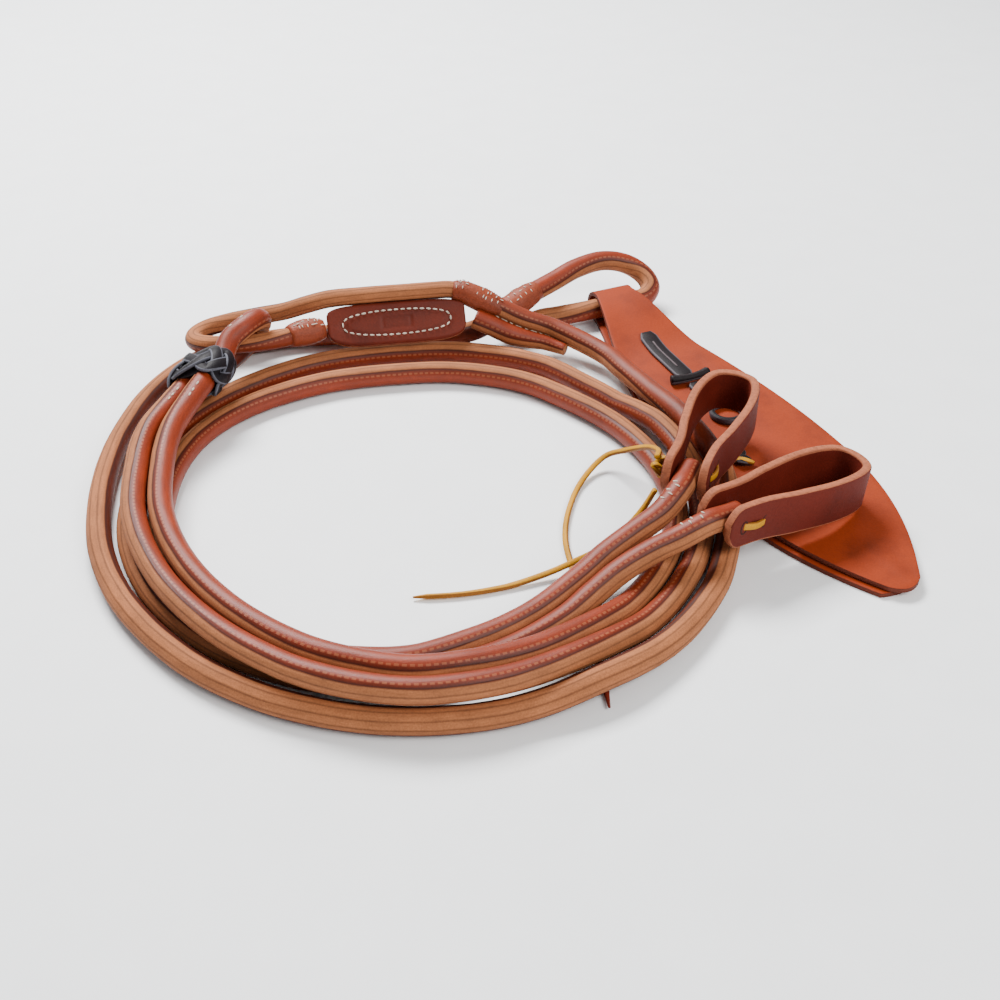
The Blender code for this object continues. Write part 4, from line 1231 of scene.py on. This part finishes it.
# ---- bit loops
def make_bit_loop(side, frame_matrix, extra):
    """A strap folded into a loop: rounded section, rounded ends, lighter cut edges."""
    leg = strap_half()
    other = [Vector((p.x, -p.y, 0)) for p in reversed(leg)]
    points = smooth(leg + [Vector((STRAP_LENGTH, 0, 0))] + other, 0.0016)
    points = [p - Vector((LACE_AT, 0, 0)) for p in points]
    total = runs_of(points)[-1]

    def section(share, run, point):
        near = min(run, total - run)
        reach = max(0.0, 1 - near / STRAP_END)
        half = STRAP_WIDTH / 2 * math.sqrt(max(0.10, 1 - reach**2.2))
        bulge = 1 + 0.05 * noise.noise(Vector((run * 60.0, 1.7, extra)))
        ring = rounded_ring(STRAP_THICKNESS / 2, half, STRAP_ROUNDING, STRAP_SIDES // 4)
        across = [0.5 + b / STRAP_WIDTH for _, b in ring]
        return [(a * bulge, b) for a, b in ring], across + across[:1]

    name = "bit_strap_" + side
    node = "bit_loop_" + side
    mesh = swept_mesh(name, points, section)
    piece = add(name, mesh, "bit_" + side, (node,), [STRAP_OUTER, STRAP_INNER, STRAP_EDGE])
    for polygon in mesh.polygons:
        k = polygon.index % STRAP_SIDES
        if polygon.index >= STRAP_SIDES * (len(points) - 1) or k <= 6 or 10 <= k <= 16:
            polygon.material_index = 2
        else:
            polygon.material_index = 0 if k > 16 else 1
    piece.matrix_world = frame_matrix


def make_bit_lace(side, frame_matrix):
    """The slits and the stretch of lace between them on the outer face."""
    face = REIN_DIAMETER / 2 + STRAP_THICKNESS + 2 * GAP
    body = "bit_" + side
    node = "bit_lace_" + side
    points = []
    for k in range(25):
        t = k / 24
        rise = 0.0014 * math.sin(math.pi * t) - 0.0008
        points.append(Vector((LACE_SHIFT + LACE_SPAN * (t - 0.5), -face - rise, 0.0008 * (0.5 - t))))
    mesh = swept_mesh(node + "_leather", points, flat_section(LACE_WIDTH, LACE_THICKNESS, upright=True))
    add(node + "_leather", mesh, body, (node,), [YELLOW_LACE], frame_matrix)
    for end, shift in ((-1, "a"), (1, "b")):
        centre = Vector((LACE_SHIFT + end * LACE_SPAN * 0.50, -face + 0.0004, 0))
        oval = [
            centre + Vector((SLIT_HALF[0] * math.cos(t), 0, SLIT_HALF[1] * math.sin(t)))
            for t in angles(24)
        ]
        name = f"bit_slit_{side}_{shift}"
        # each slit's rim is near-black: painted shade in the slit's opening
        ring_mesh = swept_mesh(name, oval, flat_section(SLIT_RIM, SLIT_RIM), True, Vector((0, 1, 0)))
        add(name, ring_mesh, body, (), [SLIT_SHADE], frame_matrix)


def make_lace_knot():
    """The bleed knot: the lace loops over itself on the strap's inner side."""
    wide, deep, high = LACE_KNOT_SIZE
    points = []
    for t in angles(64):
        x = 0.86 * wide * math.sin(t + 0.3)
        z = 0.86 * high * math.sin(2 * t)
        points.append(Vector((x, 0.55 * deep * math.cos(3 * t), z)))
    mesh = swept_mesh("lace_knot_leather", points, flat_section(0.0030, 0.0016), cyclic=True)
    add("lace_knot_leather", mesh, "coil", ("lace_knot",), [YELLOW_LACE], lace_knot_matrix())


def make_lace_tails():
    for name, start, route in (
        ("lace_tail_curled", CURLED_START, CURLED_TAIL),
        ("lace_tail_straight", STRAIGHT_START, STRAIGHT_TAIL),
    ):
        points = settled(smooth(tail_route(start, route), 0.0015), TAIL_DIAMETER)
        plain = flat_section(1.02 * TAIL_DIAMETER, 0.80 * TAIL_DIAMETER)

        def section(share, run, point):
            ring, across = plain(share, run, point)
            point_off = min(1.0, 0.35 + (1 - share) * 14)
            turn = 0.5 * math.sin(run * 38.0)
            cos, sin = math.cos(turn), math.sin(turn)
            ring = [((a * cos - b * sin) * point_off, (a * sin + b * cos) * point_off) for a, b in ring]
            return ring, across

        mesh = swept_mesh(name + "_leather", points, section)
        lace = RED_TIPPED if name == "lace_tail_curled" else YELLOW_LACE
        piece = add(name + "_leather", mesh, "coil", (name,), [lace])


# ---- the scene
ROLLED = rolled_leather("rolled_leather", GRAIN, EDGE_TAN, 0.40)
ROLLED_TAN = rolled_leather("rolled_leather_tan", GRAIN_DARK, EDGE_TAN, 0.46)
SEWN = flat_leather("sewn_leather", (0.190, 0.034, 0.012), 0.40, 0.6, 0.6)
PANEL_LEATHER = flat_leather("panel_leather", (0.105, 0.012, 0.004), 0.44)
POPPER_GRAIN = flat_leather("popper_grain", (0.215, 0.023, 0.0015), 0.50, 0.22, 0.25)
POPPER_EDGE = cut_edge("popper_edge", (0.100, 0.018, 0.008))
STRAP_OUTER = flat_leather("strap_outer", (0.092, 0.009, 0.004), 0.44)
STRAP_INNER = flat_leather("strap_inner", (0.090, 0.009, 0.004), 0.60)
STRAP_EDGE = cut_edge("strap_edge", (0.290, 0.088, 0.040))
LATIGO = flat_leather("dark_latigo", (0.006, 0.003, 0.005), 0.45)
TIE_LACE = lace_leather("tie_lace", (0.006, 0.003, 0.004), (0.07, 0.06, 0.07))
KNOT_LACE = lace_leather("knot_lace", (0.005, 0.003, 0.005), (0.085, 0.085, 0.105))
YELLOW_LACE = lace_leather("yellow_lace", (0.44, 0.200, 0.005), (0.20, 0.070, 0.006))
RED_TIPPED = lace_leather("red_tipped_lace", (0.44, 0.200, 0.005), (0.20, 0.070, 0.006), RED_FROM)
PALE_CUT = cut_edge("pale_cut", (0.08, 0.06, 0.065))
# near-black rim round each slit, made with the cut-edge nodes: painted shade in the slit openings
SLIT_SHADE = cut_edge("slit_shade", (0.035, 0.006, 0.003))
WHITE = thread("white_thread", (0.62, 0.52, 0.42))

add_camera()
add_studio()
make_reins()
make_romal()
make_lace_tails()
make_connector()
make_knot()
make_popper()
make_tie()
for loop_side, loop_frame, loop_seed in (("left", left_frame(), 1.0), ("right", right_frame(), 2.0)):
    make_bit_loop(loop_side, loop_frame, loop_seed)
    make_bit_lace(loop_side, loop_frame)
make_lace_knot()
